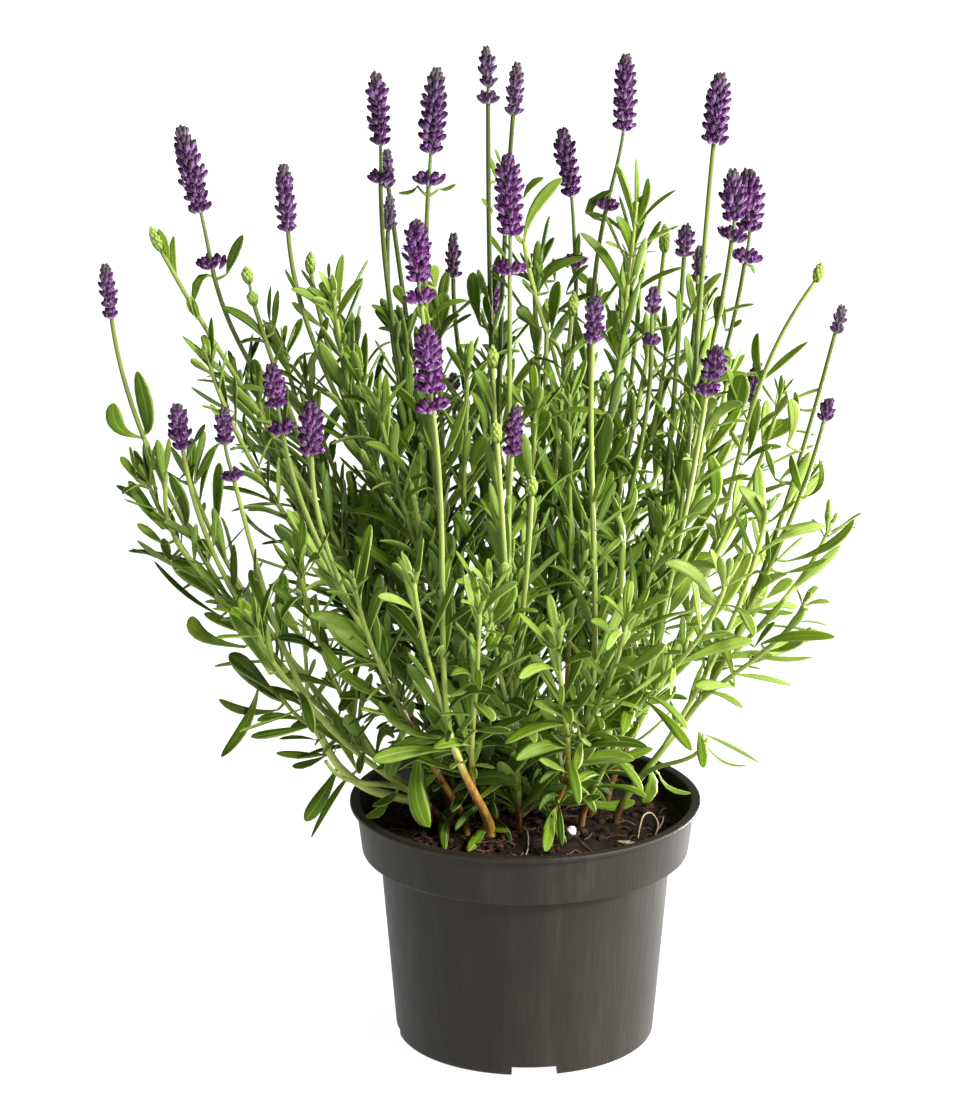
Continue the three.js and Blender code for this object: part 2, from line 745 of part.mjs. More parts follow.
const potPlastic = finish(0x45423e, 0.45);
const peat = finish(0x2e1e15, 0.95);
const perliteWhite = finish(0xe6e0d2, 0.8);
const leafGreen = finish(0x6c9a3c, 0.6);
const floretPurple = finish(0x5b2f86, 0.6);

const lavender = new THREE.Group();
lavender.name = 'potted_lavender';

function addPiece(name, geometry, material) {
  const mesh = new THREE.Mesh(geometry, material);
  mesh.name = name;
  lavender.add(mesh);
}

addPiece('pot', potGeometry(), potPlastic);
addPiece('soil', soilGeometry(), peat);

// Perlite grain lying on the soil at the front right.
const PERLITE_AT = [22, -25];
const PERLITE_RADIUS = 2.6;
const grain = new THREE.IcosahedronGeometry(PERLITE_RADIUS, 0);
grain.computeBoundingBox();
grain.translate(...PERLITE_AT, soilTop(...PERLITE_AT) + FIT - grain.boundingBox.min.z);
addPiece('perlite_grain', grain, perliteWhite);

// Spikes first: they stand where the photographed ones do, and all else keeps clear of them.
const spikes = [];
for (const [stem, { spikes: carried }] of Object.entries(STEMS)) {
  for (const [name, { path, wide }] of Object.entries(carried)) {
    const line = path.map((p) => point(...p));
    claim(name, name, ballsAlong(line, () => wide / 2));
    spikes.push({ name, stem, line, wide });
    addPiece(name, spikeGeometry(line, wide), floretPurple);
  }
}

// Stems and shoots next, then the leaves, which bend clear of all of them.
const trunks = Object.entries(STEMS).map(([name, stem], order) => {
  const line = trunkLine(stem);
  claim(name, `${name} trunk`, ballsAlong(line, () => TRUNK_FOOT_RADIUS));
  return { name, stem, line, order };
});

const plants = trunks.map(({ name, stem, line: trunk, order }) => {
  const ends = [];
  for (const { name: spike, stem: carrier, line: path } of spikes) {
    if (carrier === name) {
      ends.push({ path, spike, leafy: 0.55 });
    }
  }
  for (const [foot, tip] of stem.buds || []) {
    ends.push({ path: [point(...foot), point(...tip)], leafy: 0.6, bud: true });
  }
  for (const tip of stem.tips) {
    ends.push({ path: [point(...tip)], leafy: 1 });
  }
  ends.sort((a, b) => b.path[0].z - a.path[0].z);
  const shoots = ends.map(({ path, spike, leafy, bud }, rank) => {
    const parting = placeOn(trunk.slice(1), partingShare(trunk, path[0], rank, ends.length));
    const lean = path.length > 1 ? path[1].clone().sub(path[0]).normalize()
      : path[0].clone().sub(parting.place).normalize().add(UP).normalize();
    if (bud) {
      claim(name, `${name} bud`, ballsAlong(path, () => BUD_WIDTH / 2));
    }
    const piece = `${name} ${rank}`;
    const line = clearShoot(name, piece, parting, path[0], lean, spike);
    return { piece, line, leafy, bud, path };
  });
  return { name, order, trunk, shoots };
});

for (const { name, order, trunk, shoots } of plants) {
  const trunkRadii = trunk.map((_, i) => trunkRadius(i / (trunk.length - 1)));
  let body = solid(rod(trunk, trunkRadii, TRUNK_SIDES));
  const growLeaves = (stalk, leaves) => {
    for (const leaf of leaves) {
      const bent = bentLeaf(name, stalk, leaf);
      if (bent) {
        body = body.add(solid(leafBlade(bent)));
      }
    }
  };
  for (const { line, bud, path } of shoots) {
    const radii = line.map((_, j) => stalkRadius(j / (line.length - 1)));
    body = body.add(solid(rod(line, radii, STALK_SIDES)));
    if (bud) {
      const sunk = path[0].clone().addScaledVector(path[1].clone().sub(path[0]).normalize(), -1);
      body = body.add(solid(budGeometry(sunk, path[1])));
    }
  }
  const lowPairs = leafPairs(order + 1, trunk.slice(1), 0.02, 0.95, TRUNK_PAIRS, TRUNK_LEAF);
  growLeaves(`${name} trunk`, lowPairs);
  shoots.forEach(({ piece, line, leafy }, i) => {
    const seed = (order + 1) * 7 + i;
    if (leafy === 1) {
      growLeaves(piece, crownPair(seed, line));
    }
    growLeaves(piece, leafPairs(seed, line, 0.15, leafy, SHOOT_PAIRS, SHOOT_LEAF));
  });
  addPiece(`stem_${name}`, geometryOf(largest(body)), leafGreen);
}
export default lavender;
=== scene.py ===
from math import cos, hypot, pi, radians, sin, tau
from random import Random

import bmesh
import bpy
import numpy as np
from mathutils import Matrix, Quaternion, Vector, noise


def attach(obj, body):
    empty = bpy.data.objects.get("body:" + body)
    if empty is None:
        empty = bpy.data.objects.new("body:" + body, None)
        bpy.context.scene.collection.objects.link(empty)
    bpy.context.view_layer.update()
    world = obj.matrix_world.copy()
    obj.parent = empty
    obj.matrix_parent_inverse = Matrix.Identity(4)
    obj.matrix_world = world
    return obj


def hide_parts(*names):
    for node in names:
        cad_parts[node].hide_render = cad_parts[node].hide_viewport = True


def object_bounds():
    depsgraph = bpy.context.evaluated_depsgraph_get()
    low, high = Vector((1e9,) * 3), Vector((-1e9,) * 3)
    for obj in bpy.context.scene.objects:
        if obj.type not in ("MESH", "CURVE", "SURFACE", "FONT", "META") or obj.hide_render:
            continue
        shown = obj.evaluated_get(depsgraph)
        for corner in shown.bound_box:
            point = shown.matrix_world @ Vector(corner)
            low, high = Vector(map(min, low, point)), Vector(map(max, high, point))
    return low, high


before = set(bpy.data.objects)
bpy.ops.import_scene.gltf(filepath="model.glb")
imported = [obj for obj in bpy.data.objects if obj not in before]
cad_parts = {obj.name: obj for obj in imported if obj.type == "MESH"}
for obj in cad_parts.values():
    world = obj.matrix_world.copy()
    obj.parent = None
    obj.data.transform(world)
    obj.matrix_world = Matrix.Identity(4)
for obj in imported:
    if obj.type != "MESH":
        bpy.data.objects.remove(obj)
solid_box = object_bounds()

# Pot: a thermoformed nursery pot of charcoal plastic. One thin skin is drawn down into a
# stepped collar under a flat lip, a tapering body, a foot ring with four notches and a raised
# channel with six drain holes punched in it. Lengths here and below are millimetres.
POT_HEIGHT = 120
WALL = 1.8
RIM_RADIUS = 85
LIP_HEIGHT = 2.6
COLLAR_TOP_RADIUS = 82
COLLAR_FOOT_RADIUS = 79
COLLAR_FOOT_Z = 94
BODY_TOP_RADIUS = 70.6
BODY_FOOT_RADIUS = 62.6
FOOT_INSET = 0.1
FLOOR_LIFT = 5
CENTRE_PAD_RADIUS = 22
FOOT_RING_WIDTH = 8
NOTCH_WIDTH = 22
NOTCH_TURN = radians(4)
NOTCH_COUNT = 4
NOTCH_SPARE = 4
DRAIN_RADIUS = 4
DRAIN_CIRCLE = 38
DRAIN_COUNT = 6
DRAIN_DEPTH = 8
DRAIN_MIDDLE_Z = 6
DRAIN_SIDES = 32
POT_SIDES = 180
BEND_STEPS = 5
SHARP_EDGE = radians(38)
MM = 0.001


class Reading:
    """A number that varies over a surface; sums and products of readings are readings."""

    def __init__(self, finish, socket):
        self.finish = finish
        self.socket = socket

    def worked(self, operation, *others):
        values = dict(enumerate([self, *others]))
        return self.finish.node("ShaderNodeMath", {"operation": operation}, values)

    def __add__(self, other):
        return self.worked("ADD", other)

    __radd__ = __add__

    def __sub__(self, other):
        return self.worked("SUBTRACT", other)

    def __rsub__(self, other):
        return self.finish.node("ShaderNodeMath", {"operation": "SUBTRACT"}, {0: other, 1: self})

    def __mul__(self, other):
        return self.worked("MULTIPLY", other)

    __rmul__ = __mul__

    def size(self):
        return self.worked("ABSOLUTE")

    def ramped(self, low, high):
        """0 under low, 1 over high, and a soft step between them."""
        settings = {"interpolation_type": "SMOOTHSTEP"}
        sockets = {"Value": self, "From Min": low, "From Max": high}
        return self.finish.node("ShaderNodeMapRange", settings, sockets)


class Finish:
    """One material: fixed settings of its shader, and the nodes that feed what varies."""

    def __init__(self, name, **fixed):
        self.material = bpy.data.materials.new(name)
        self.material.use_nodes = True
        self.tree = self.material.node_tree
        self.shader = self.tree.nodes["Principled BSDF"]
        for word, value in fixed.items():
            self.shader.inputs[word.replace("_", " ")].default_value = value

    def node(self, kind, settings=None, sockets=None, output=0):
        made = self.tree.nodes.new(kind)
        for word, value in (settings or {}).items():
            if word == "stops":
                self.set_stops(made.color_ramp, value)
            else:
                setattr(made, word, value)
        for word, value in (sockets or {}).items():
            self.feed(self.found(made.inputs, word), value)
        return Reading(self, self.found(made.outputs, output))

    def set_stops(self, ramp, stops):
        while len(ramp.elements) < len(stops):
            ramp.elements.new(1)
        for element, (place, colour) in zip(ramp.elements, stops):
            element.position = place
            element.color = (*colour, 1)

    def found(self, sockets, word):
        if isinstance(word, int):
            return sockets[word]
        for socket in sockets:
            if socket.identifier == word:
                return socket
        return sockets[word]

    def feed(self, socket, value):
        if isinstance(value, Reading):
            self.tree.links.new(value.socket, socket)
        elif isinstance(value, tuple) and len(socket.default_value) == 4:
            socket.default_value = (*value, 1)
        else:
            socket.default_value = value

    def shade(self, **readings):
        """Feeds the shader's own sockets."""
        for word, value in readings.items():
            self.feed(self.shader.inputs[word.replace("_", " ")], value)

    def place(self):
        return self.node("ShaderNodeTexCoord", None, None, "Object")

    def stretched(self, x, y, z):
        """The place on the piece, with each direction scaled."""
        sockets = {"Vector": self.place(), "Scale": Vector((x, y, z))}
        return self.node("ShaderNodeMapping", {"vector_type": "POINT"}, sockets)

    def cloud(self, scale, detail, roughness, place=None):
        sockets = {"Vector": place or self.place(), "Scale": scale, "Detail": detail,
                   "Roughness": roughness}
        return self.node("ShaderNodeTexNoise", None, sockets)

    def value_at(self, name):
        """A value stored at the piece's points."""
        return self.node("ShaderNodeAttribute", {"attribute_name": name}, None, "Fac")

    def blend(self, share, one, other):
        sockets = {"Factor_Float": share, "A_Color": one, "B_Color": other}
        return self.node("ShaderNodeMix", {"data_type": "RGBA"}, sockets, "Result_Color")

    def ramp(self, reading, *stops):
        return self.node("ShaderNodeValToRGB", {"stops": stops}, {"Fac": reading}, "Color")

    def relief(self, height, depth, strength=1.0):
        """Feeds the shader's normal from a height reading, depth in millimetres."""
        sockets = {"Height": height, "Distance": depth * MM, "Strength": strength}
        self.shade(Normal=self.node("ShaderNodeBump", None, sockets))


class Surface:
    """The points and faces of one piece, with named values at each point."""

    def __init__(self, *names):
        self.points = []
        self.faces = []
        self.values = {name: [] for name in names}

    def add(self, point, **values):
        self.points.append(point)
        for name, column in self.values.items():
            column.append(values.get(name, 0.0))
        return len(self.points) - 1

    def circle(self, radius, height, sides):
        """Points round the upright axis."""
        return [self.add(Vector((radius * cos(j * tau / sides),
                                 radius * sin(j * tau / sides), height)))
                for j in range(sides)]

    def bridge(self, rings):
        """Faces between each ring of points and the next."""
        for ring, following in zip(rings, rings[1:]):
            for j in range(len(ring)):
                k = (j + 1) % len(ring)
                self.faces.append((ring[j], ring[k], following[k], following[j]))

    def fan(self, ring, tip):
        for j in range(len(ring)):
            self.faces.append((ring[j], ring[(j + 1) % len(ring)], tip))

    def close(self, rings, foot, tip, **values):
        """Faces along the rings and over both ends of them."""
        self.bridge(rings)
        self.fan(rings[0][::-1], self.add(foot, **values))
        self.fan(rings[-1], self.add(tip, **values))

    def made(self, name, finish):
        mesh = bpy.data.meshes.new(name)
        mesh.from_pydata([tuple(c * MM for c in p) for p in self.points], [], self.faces)
        for word, column in self.values.items():
            layer = mesh.attributes.new(word, "FLOAT", "POINT")
            layer.data.foreach_set("value", column)
        mesh.shade_smooth()
        mesh.materials.append(finish.material)
        piece = bpy.data.objects.new(name, mesh)
        bpy.context.scene.collection.objects.link(piece)
        return piece


def rounded(profile, radii):
    """A profile of (radius, height) corners with arcs in place of some of them."""
    smooth = []
    for i, corner in enumerate(profile):
        bend = radii.get(i, 0)
        here = Vector(corner)
        if not bend:
            smooth.append(here)
            continue
        back = (Vector(profile[i - 1]) - here).normalized()
        ahead = (Vector(profile[i + 1]) - here).normalized()
        for j in range(BEND_STEPS + 1):
            t = j / BEND_STEPS
            smooth.append(here + back * bend * (1 - t) ** 2 + ahead * bend * t ** 2)
    return smooth


def turned(surface, profile, sides):
    """A profile turned about the upright axis; its first and last points lie on the axis."""
    rings = [surface.circle(radius, height, sides) for radius, height in profile[1:-1]]
    surface.close(rings, Vector((0, 0, profile[0][1])), Vector((0, 0, profile[-1][1])))


def cut_away(piece, cutter):
    """Cuts one closed piece out of another for good."""
    cut = piece.modifiers.new("cut", "BOOLEAN")
    cut.object = cutter
    cut.solver = "EXACT"
    worked = piece.evaluated_get(bpy.context.evaluated_depsgraph_get())
    mesh = bpy.data.meshes.new_from_object(worked)
    piece.modifiers.clear()
    piece.data = mesh
    bpy.data.objects.remove(cutter)


pot_plastic = Finish("charcoal_plastic", Metallic=0.0, Specular_IOR_Level=0.22)
streaks = pot_plastic.cloud(1, 5, 0.6, pot_plastic.stretched(430, 430, 9))
broad_streaks = pot_plastic.cloud(1, 3, 0.5, pot_plastic.stretched(70, 70, 5))
scuffs = pot_plastic.cloud(38, 6, 0.62)
grain = pot_plastic.cloud(2600, 2, 0.5)
darkness = broad_streaks * 0.45 + scuffs * 0.2 + streaks * 0.35
pot_plastic.shade(
    Base_Color=pot_plastic.ramp(darkness, (0.32, (0.0130, 0.0105, 0.0075)),
                                (0.52, (0.0200, 0.0165, 0.0120)), (0.72, (0.036, 0.030, 0.022))),
    Roughness=0.36 + streaks * 0.2 + scuffs * 0.1,
)
pot_plastic.relief(streaks * 0.85 + grain * 0.15, 0.35, 0.8)

# The pot's section: (radius, height) corners, and the bend of those that are rounded.
inside_foot = BODY_FOOT_RADIUS - FOOT_RING_WIDTH
pot_profile = rounded([
    (0, 0),
    (CENTRE_PAD_RADIUS, 0),
    (CENTRE_PAD_RADIUS + WALL, FLOOR_LIFT),
    (inside_foot, FLOOR_LIFT),
    (inside_foot, 0),
    (BODY_FOOT_RADIUS - FOOT_INSET, 0),
    (BODY_TOP_RADIUS, COLLAR_FOOT_Z),
    (COLLAR_FOOT_RADIUS, COLLAR_FOOT_Z),
    (COLLAR_TOP_RADIUS, POT_HEIGHT - LIP_HEIGHT),
    (RIM_RADIUS, POT_HEIGHT - LIP_HEIGHT),
    (RIM_RADIUS, POT_HEIGHT),
    (COLLAR_TOP_RADIUS - WALL, POT_HEIGHT),
    (COLLAR_FOOT_RADIUS - WALL, COLLAR_FOOT_Z + WALL),
    (BODY_TOP_RADIUS - WALL, COLLAR_FOOT_Z + WALL),
    (BODY_FOOT_RADIUS - WALL, FLOOR_LIFT + WALL),
    (CENTRE_PAD_RADIUS, FLOOR_LIFT + WALL),
    (CENTRE_PAD_RADIUS - WALL, WALL),
    (0, WALL),
], {1: 1, 2: 1, 3: 1, 4: 1, 5: 3, 6: 1.2, 7: 1.6, 8: 1, 9: 1.1, 10: 1.2, 11: 1, 12: 1.4,
    13: 1.2, 14: 2})

skin = Surface()
turned(skin, pot_profile, POT_SIDES)
pot = skin.made("nursery_pot", pot_plastic)
for i in range(NOTCH_COUNT):
    turn = -pi / 2 + NOTCH_TURN + i * tau / NOTCH_COUNT
    bpy.ops.mesh.primitive_cube_add(size=1)
    notch = bpy.context.object
    notch.scale = Vector((FOOT_RING_WIDTH + NOTCH_SPARE, NOTCH_WIDTH, 2 * FLOOR_LIFT)) * MM
    middle = BODY_FOOT_RADIUS - FOOT_RING_WIDTH / 2
    notch.location = Vector((middle * cos(turn), middle * sin(turn), 0)) * MM
    notch.rotation_euler = (0, 0, turn)
    cut_away(pot, notch)
for i in range(DRAIN_COUNT):
    turn = (i + 0.5) * tau / DRAIN_COUNT
    bpy.ops.mesh.primitive_cylinder_add(vertices=DRAIN_SIDES, radius=DRAIN_RADIUS * MM,
                                        depth=DRAIN_DEPTH * MM)
    drain = bpy.context.object
    drain.location = Vector((DRAIN_CIRCLE * cos(turn), DRAIN_CIRCLE * sin(turn),
                             DRAIN_MIDDLE_Z)) * MM
    cut_away(pot, drain)
pot.data.shade_smooth()
pot.data.set_sharp_from_angle(angle=SHARP_EDGE)
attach(pot, "root")
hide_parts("pot")

# Soil: damp peat potting mix, pressed in to a finger's width under the lip. Crumbs, reddish
# peat fibres and a few pale root threads lie loose on it.
SOIL_FIT = 0.3
SOIL_EDGE_Z = 106.5
SOIL_MIDDLE_Z = 109.5
SOIL_SIDES = 168
SOIL_RINGS = 52
LUMP_HEIGHT = 2.2
LUMP_SIZES = ((13, 3, 0.7), (5, 9, 0.5), (1.9, 21, 0.3))
SOIL_SEED = 11
CRUMBS = 740
CRUMB_REACH = 74
CRUMB_HEIGHT = 0.75
CRUMB_SUNK = 0.3
SMALLEST_CRUMB = 0.5
CRUMB_RANGE = 2.0
FIBRES = 260
FIBRE_REACH = 70
FIBRE_POINTS = 6
FIBRE_LIMIT = 75
FIBRE_STEPS = (1.0, 3.4)
FIBRE_TURNS = (-0.7, 0.7)
FIBRE_RADII = (0.16, 0.42)
ROOT_STEPS = 22


def soil_top(x, y):
    """The height of the soil without its lumps."""
    share = min(1, (hypot(x, y) / COLLAR_FOOT_RADIUS) ** 2)
    return SOIL_MIDDLE_Z + (SOIL_EDGE_Z - SOIL_MIDDLE_Z) * share


def soil_lumps(x, y):
    """The height of the soil with its lumps, which come in three sizes."""
    lumps = sum(noise.noise(Vector((x / size, y / size, seed))) * share
                for size, seed, share in LUMP_SIZES)
    return soil_top(x, y) + LUMP_HEIGHT * lumps


def lump(surface, middle, radius, subdivisions, height, rough, **values):
    """A rough ball; rough gives the share of its radius that it has in a direction."""
    ball = bmesh.new()
    bmesh.ops.create_icosphere(ball, subdivisions=subdivisions, radius=1)
    numbers = []
    for corner in ball.verts:
        way = corner.co
        squashed = Vector((way.x, way.y, way.z * height))
        numbers.append(surface.add(middle + squashed * radius * rough(way), **values))
    for face in ball.faces:
        surface.faces.append(tuple(numbers[corner.index] for corner in face.verts))
    ball.free()


def thread(surface, line, radius, sides=4, **values):
    """A thin round strand along points."""
    rings = []
    side = Vector((0.3, 0.2, 1)).normalized()
    for i, here in enumerate(line):
        way = (line[min(i + 1, len(line) - 1)] - line[max(i - 1, 0)]).normalized()
        side = (side - way * side.dot(way)).normalized()
        across = way.cross(side)
        thick = radius * (0.45 + 0.55 * sin(pi * (i + 0.6) / (len(line) + 0.2)))
        rings.append([surface.add(here + side * thick * cos(j * tau / sides)
                                  + across * thick * sin(j * tau / sides), **values)
                      for j in range(sides)])
    surface.close(rings, line[0], line[-1], **values)


def smooth_line(points, count):
    """Points along a curve through the given ones."""
    ends = [points[0] * 2 - points[1], *points, points[-1] * 2 - points[-2]]
    line = []
    pieces = len(points) - 1
    for i in range(count + 1):
        t = i / count * pieces
        k = min(int(t), pieces - 1)
        t -= k
        a, b, c, d = ends[k:k + 4]
        line.append(0.5 * ((2 * b) + (c - a) * t + (2 * a - 5 * b + 4 * c - d) * t * t
                           + (3 * b - a - 3 * c + d) * t ** 3))
    return line


peat = Finish("damp_peat", Specular_IOR_Level=0.25)
peat_speckle = peat.cloud(900, 5, 0.7)
peat_patches = peat.cloud(90, 4, 0.6)
strand = peat.value_at("strand")
pale = peat.value_at("pale")
bare_peat = peat.ramp(peat_speckle * 0.6 + peat_patches * 0.4,
                      (0.36, (0.003, 0.0018, 0.001)), (0.5, (0.010, 0.005, 0.0025)),
                      (0.62, (0.032, 0.014, 0.006)), (0.74, (0.12, 0.052, 0.021)))
fibre_brown = peat.ramp(peat_speckle, (0.35, (0.06, 0.022, 0.009)), (0.65, (0.20, 0.085, 0.034)))
root_pale = peat.ramp(peat_speckle, (0.35, (0.36, 0.25, 0.15)), (0.65, (0.62, 0.5, 0.34)))
peat.shade(
    Base_Color=peat.blend(pale, peat.blend(strand, bare_peat, fibre_brown), root_pale),
    Roughness=0.78 + peat_patches * 0.2,
)
peat.relief(peat_speckle, 0.9, 0.8)

bed = Surface("strand", "pale")
soil_edge = (COLLAR_FOOT_RADIUS - WALL - SOIL_FIT + (COLLAR_TOP_RADIUS - COLLAR_FOOT_RADIUS)
             * (SOIL_EDGE_Z - COLLAR_FOOT_Z) / (POT_HEIGHT - COLLAR_FOOT_Z))
under_floor = FLOOR_LIFT + WALL + SOIL_FIT
soil_sides_profile = [
    (CENTRE_PAD_RADIUS - WALL - 2 * SOIL_FIT, WALL + SOIL_FIT),
    (CENTRE_PAD_RADIUS - 2 * SOIL_FIT, under_floor),
    (BODY_FOOT_RADIUS - WALL - SOIL_FIT, under_floor),
    (BODY_TOP_RADIUS - WALL - SOIL_FIT, COLLAR_FOOT_Z + WALL + SOIL_FIT),
    (COLLAR_FOOT_RADIUS - WALL - SOIL_FIT, COLLAR_FOOT_Z + WALL + SOIL_FIT),
]
rings = [bed.circle(radius, height, SOIL_SIDES) for radius, height in soil_sides_profile]
for i in range(SOIL_RINGS):
    radius = soil_edge * (1 - i / SOIL_RINGS)
    ring = []
    for j in range(SOIL_SIDES):
        x = radius * cos(j * tau / SOIL_SIDES)
        y = radius * sin(j * tau / SOIL_SIDES)
        ring.append(bed.add(Vector((x, y, soil_lumps(x, y)))))
    rings.append(ring)
bed.close(rings, Vector((0, 0, WALL + SOIL_FIT)), Vector((0, 0, soil_lumps(0, 0))))

tossed = Random(SOIL_SEED)
for i in range(CRUMBS):
    out = CRUMB_REACH * tossed.random() ** 0.5
    turn = tossed.uniform(0, tau)
    x = out * cos(turn)
    y = out * sin(turn)
    radius = SMALLEST_CRUMB + CRUMB_RANGE * tossed.random() ** 3
    middle = Vector((x, y, soil_lumps(x, y) + radius * CRUMB_SUNK))
    lump(bed, middle, radius, 2 if radius > 2 else 1, CRUMB_HEIGHT,
         lambda way: 1 + 0.45 * noise.noise(way * 1.7 + middle),
         strand=0.45 * tossed.random() ** 3)
for i in range(FIBRES):
    out = FIBRE_REACH * tossed.random() ** 0.5
    turn = tossed.uniform(0, tau)
    heading = tossed.uniform(0, tau)
    line = []
    x = out * cos(turn)
    y = out * sin(turn)
    for j in range(FIBRE_POINTS):
        lift = 0.5 + 1.6 * sin(pi * j / (FIBRE_POINTS - 1)) * tossed.random()
        line.append(Vector((x, y, soil_lumps(x, y) + lift)))
        heading += tossed.uniform(*FIBRE_TURNS)
        step = tossed.uniform(*FIBRE_STEPS)
        x += step * cos(heading)
        y += step * sin(heading)
        if hypot(x, y) > FIBRE_LIMIT:
            break
    if len(line) > 2:
        thread(bed, line, tossed.uniform(*FIBRE_RADII), 3, strand=tossed.uniform(0.5, 1),
               pale=0.3 * tossed.random() ** 4)

# Root threads seen on the soil: a straight one left of the middle, two loops and a lump of
# root at the right, each a run of (x, y, height over the soil).
ROOT_THREADS = (
    (0.45, ((-3, -16, 1), (0, -24, 3.5), (1, -33, 3), (1, -42, 1.2), (0, -50, 0.6))),
    (0.35, ((-2, -58, 0.8), (3, -60, 1), (8, -59, 0.5))),
    (0.45, ((54, -26, 0.8), (55, -20, 4), (57, -14, 8), (61, -10, 8), (64, -14, 4), (62, -24, 1))),
    (0.38, ((67, -2, 3), (66, -10, 3), (63, -20, 2), (61, -28, 0.6))),
    (0.3, ((56, -34, 1), (51, -37, 2.6), (45, -40, 1))),
    (1.1, ((44, -32, 0.8), (49, -33, 1.2), (53, -33, 0.9))),
)
for radius, run in ROOT_THREADS:
    points = [Vector((x, y, soil_lumps(x, y) + lift)) for x, y, lift in run]
    thread(bed, smooth_line(points, ROOT_STEPS), radius, 5, pale=0.9)
soil = bed.made("peat_soil", peat)
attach(soil, "root")
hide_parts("soil")

# Perlite: one white grain of expanded volcanic rock, which keeps the mix open. It has come up
# to the top and lies loose on the soil.
PERLITE_AT = (22, -25)
PERLITE_RADIUS = 2.5

perlite = Finish("perlite", Specular_IOR_Level=0.3)
pits = perlite.cloud(1500, 4, 0.7)
perlite.shade(
    Base_Color=perlite.ramp(pits, (0.3, (0.42, 0.36, 0.28)), (0.5, (0.8, 0.77, 0.7)),
                            (0.7, (0.93, 0.91, 0.87))),
    Roughness=0.7 + pits * 0.3,
)
perlite.relief(pits, 0.5)

perlite_middle = Vector((*PERLITE_AT, soil_top(*PERLITE_AT) + SOIL_FIT + PERLITE_RADIUS))
grain_surface = Surface()
lump(grain_surface, perlite_middle, PERLITE_RADIUS, 4, 1,
     lambda way: 1 + 0.16 * noise.noise(way * 1.6) + 0.09 * noise.noise(way * 5))
grain = grain_surface.made("perlite_lump", perlite)
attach(grain, "root")
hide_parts("perlite_grain")

# Leafy stems: each leaves the soil woody and orange-brown, turns green, and parts into
# leafy shoots, bare flower stalks and stalks with a green bud. Narrow leaves stand in pairs,
# each pair crosswise to the one below, with tufts of young leaves where they join the stem.
TRUNK_FOOT_RADIUS = 1.8
TRUNK_TOP_RADIUS = 1.4
STALK_FOOT_RADIUS = 1.3
STALK_TOP_RADIUS = 1.0
HOLE_DEPTH = 20
FORK_SPREAD = 0.34
LOWEST_FORK = 0.35
MORE_TIPS_DROP = 0.13
LEAFY_TO_SPIKE = 0.52
LEAFY_TO_BUD = 0.6
SECTION_LENGTH = 85
BALL_GAP = 3
TRUNK_ROOM = 2.5
PERLITE_ROOM = 5.0
STEM_CLEARANCE = 1.2
LEAF_CLEARANCE = 0.7
POT_CLEARANCE = 0.4
BUD_WIDTH = 6.4
UP = Vector((0, 0, 1))

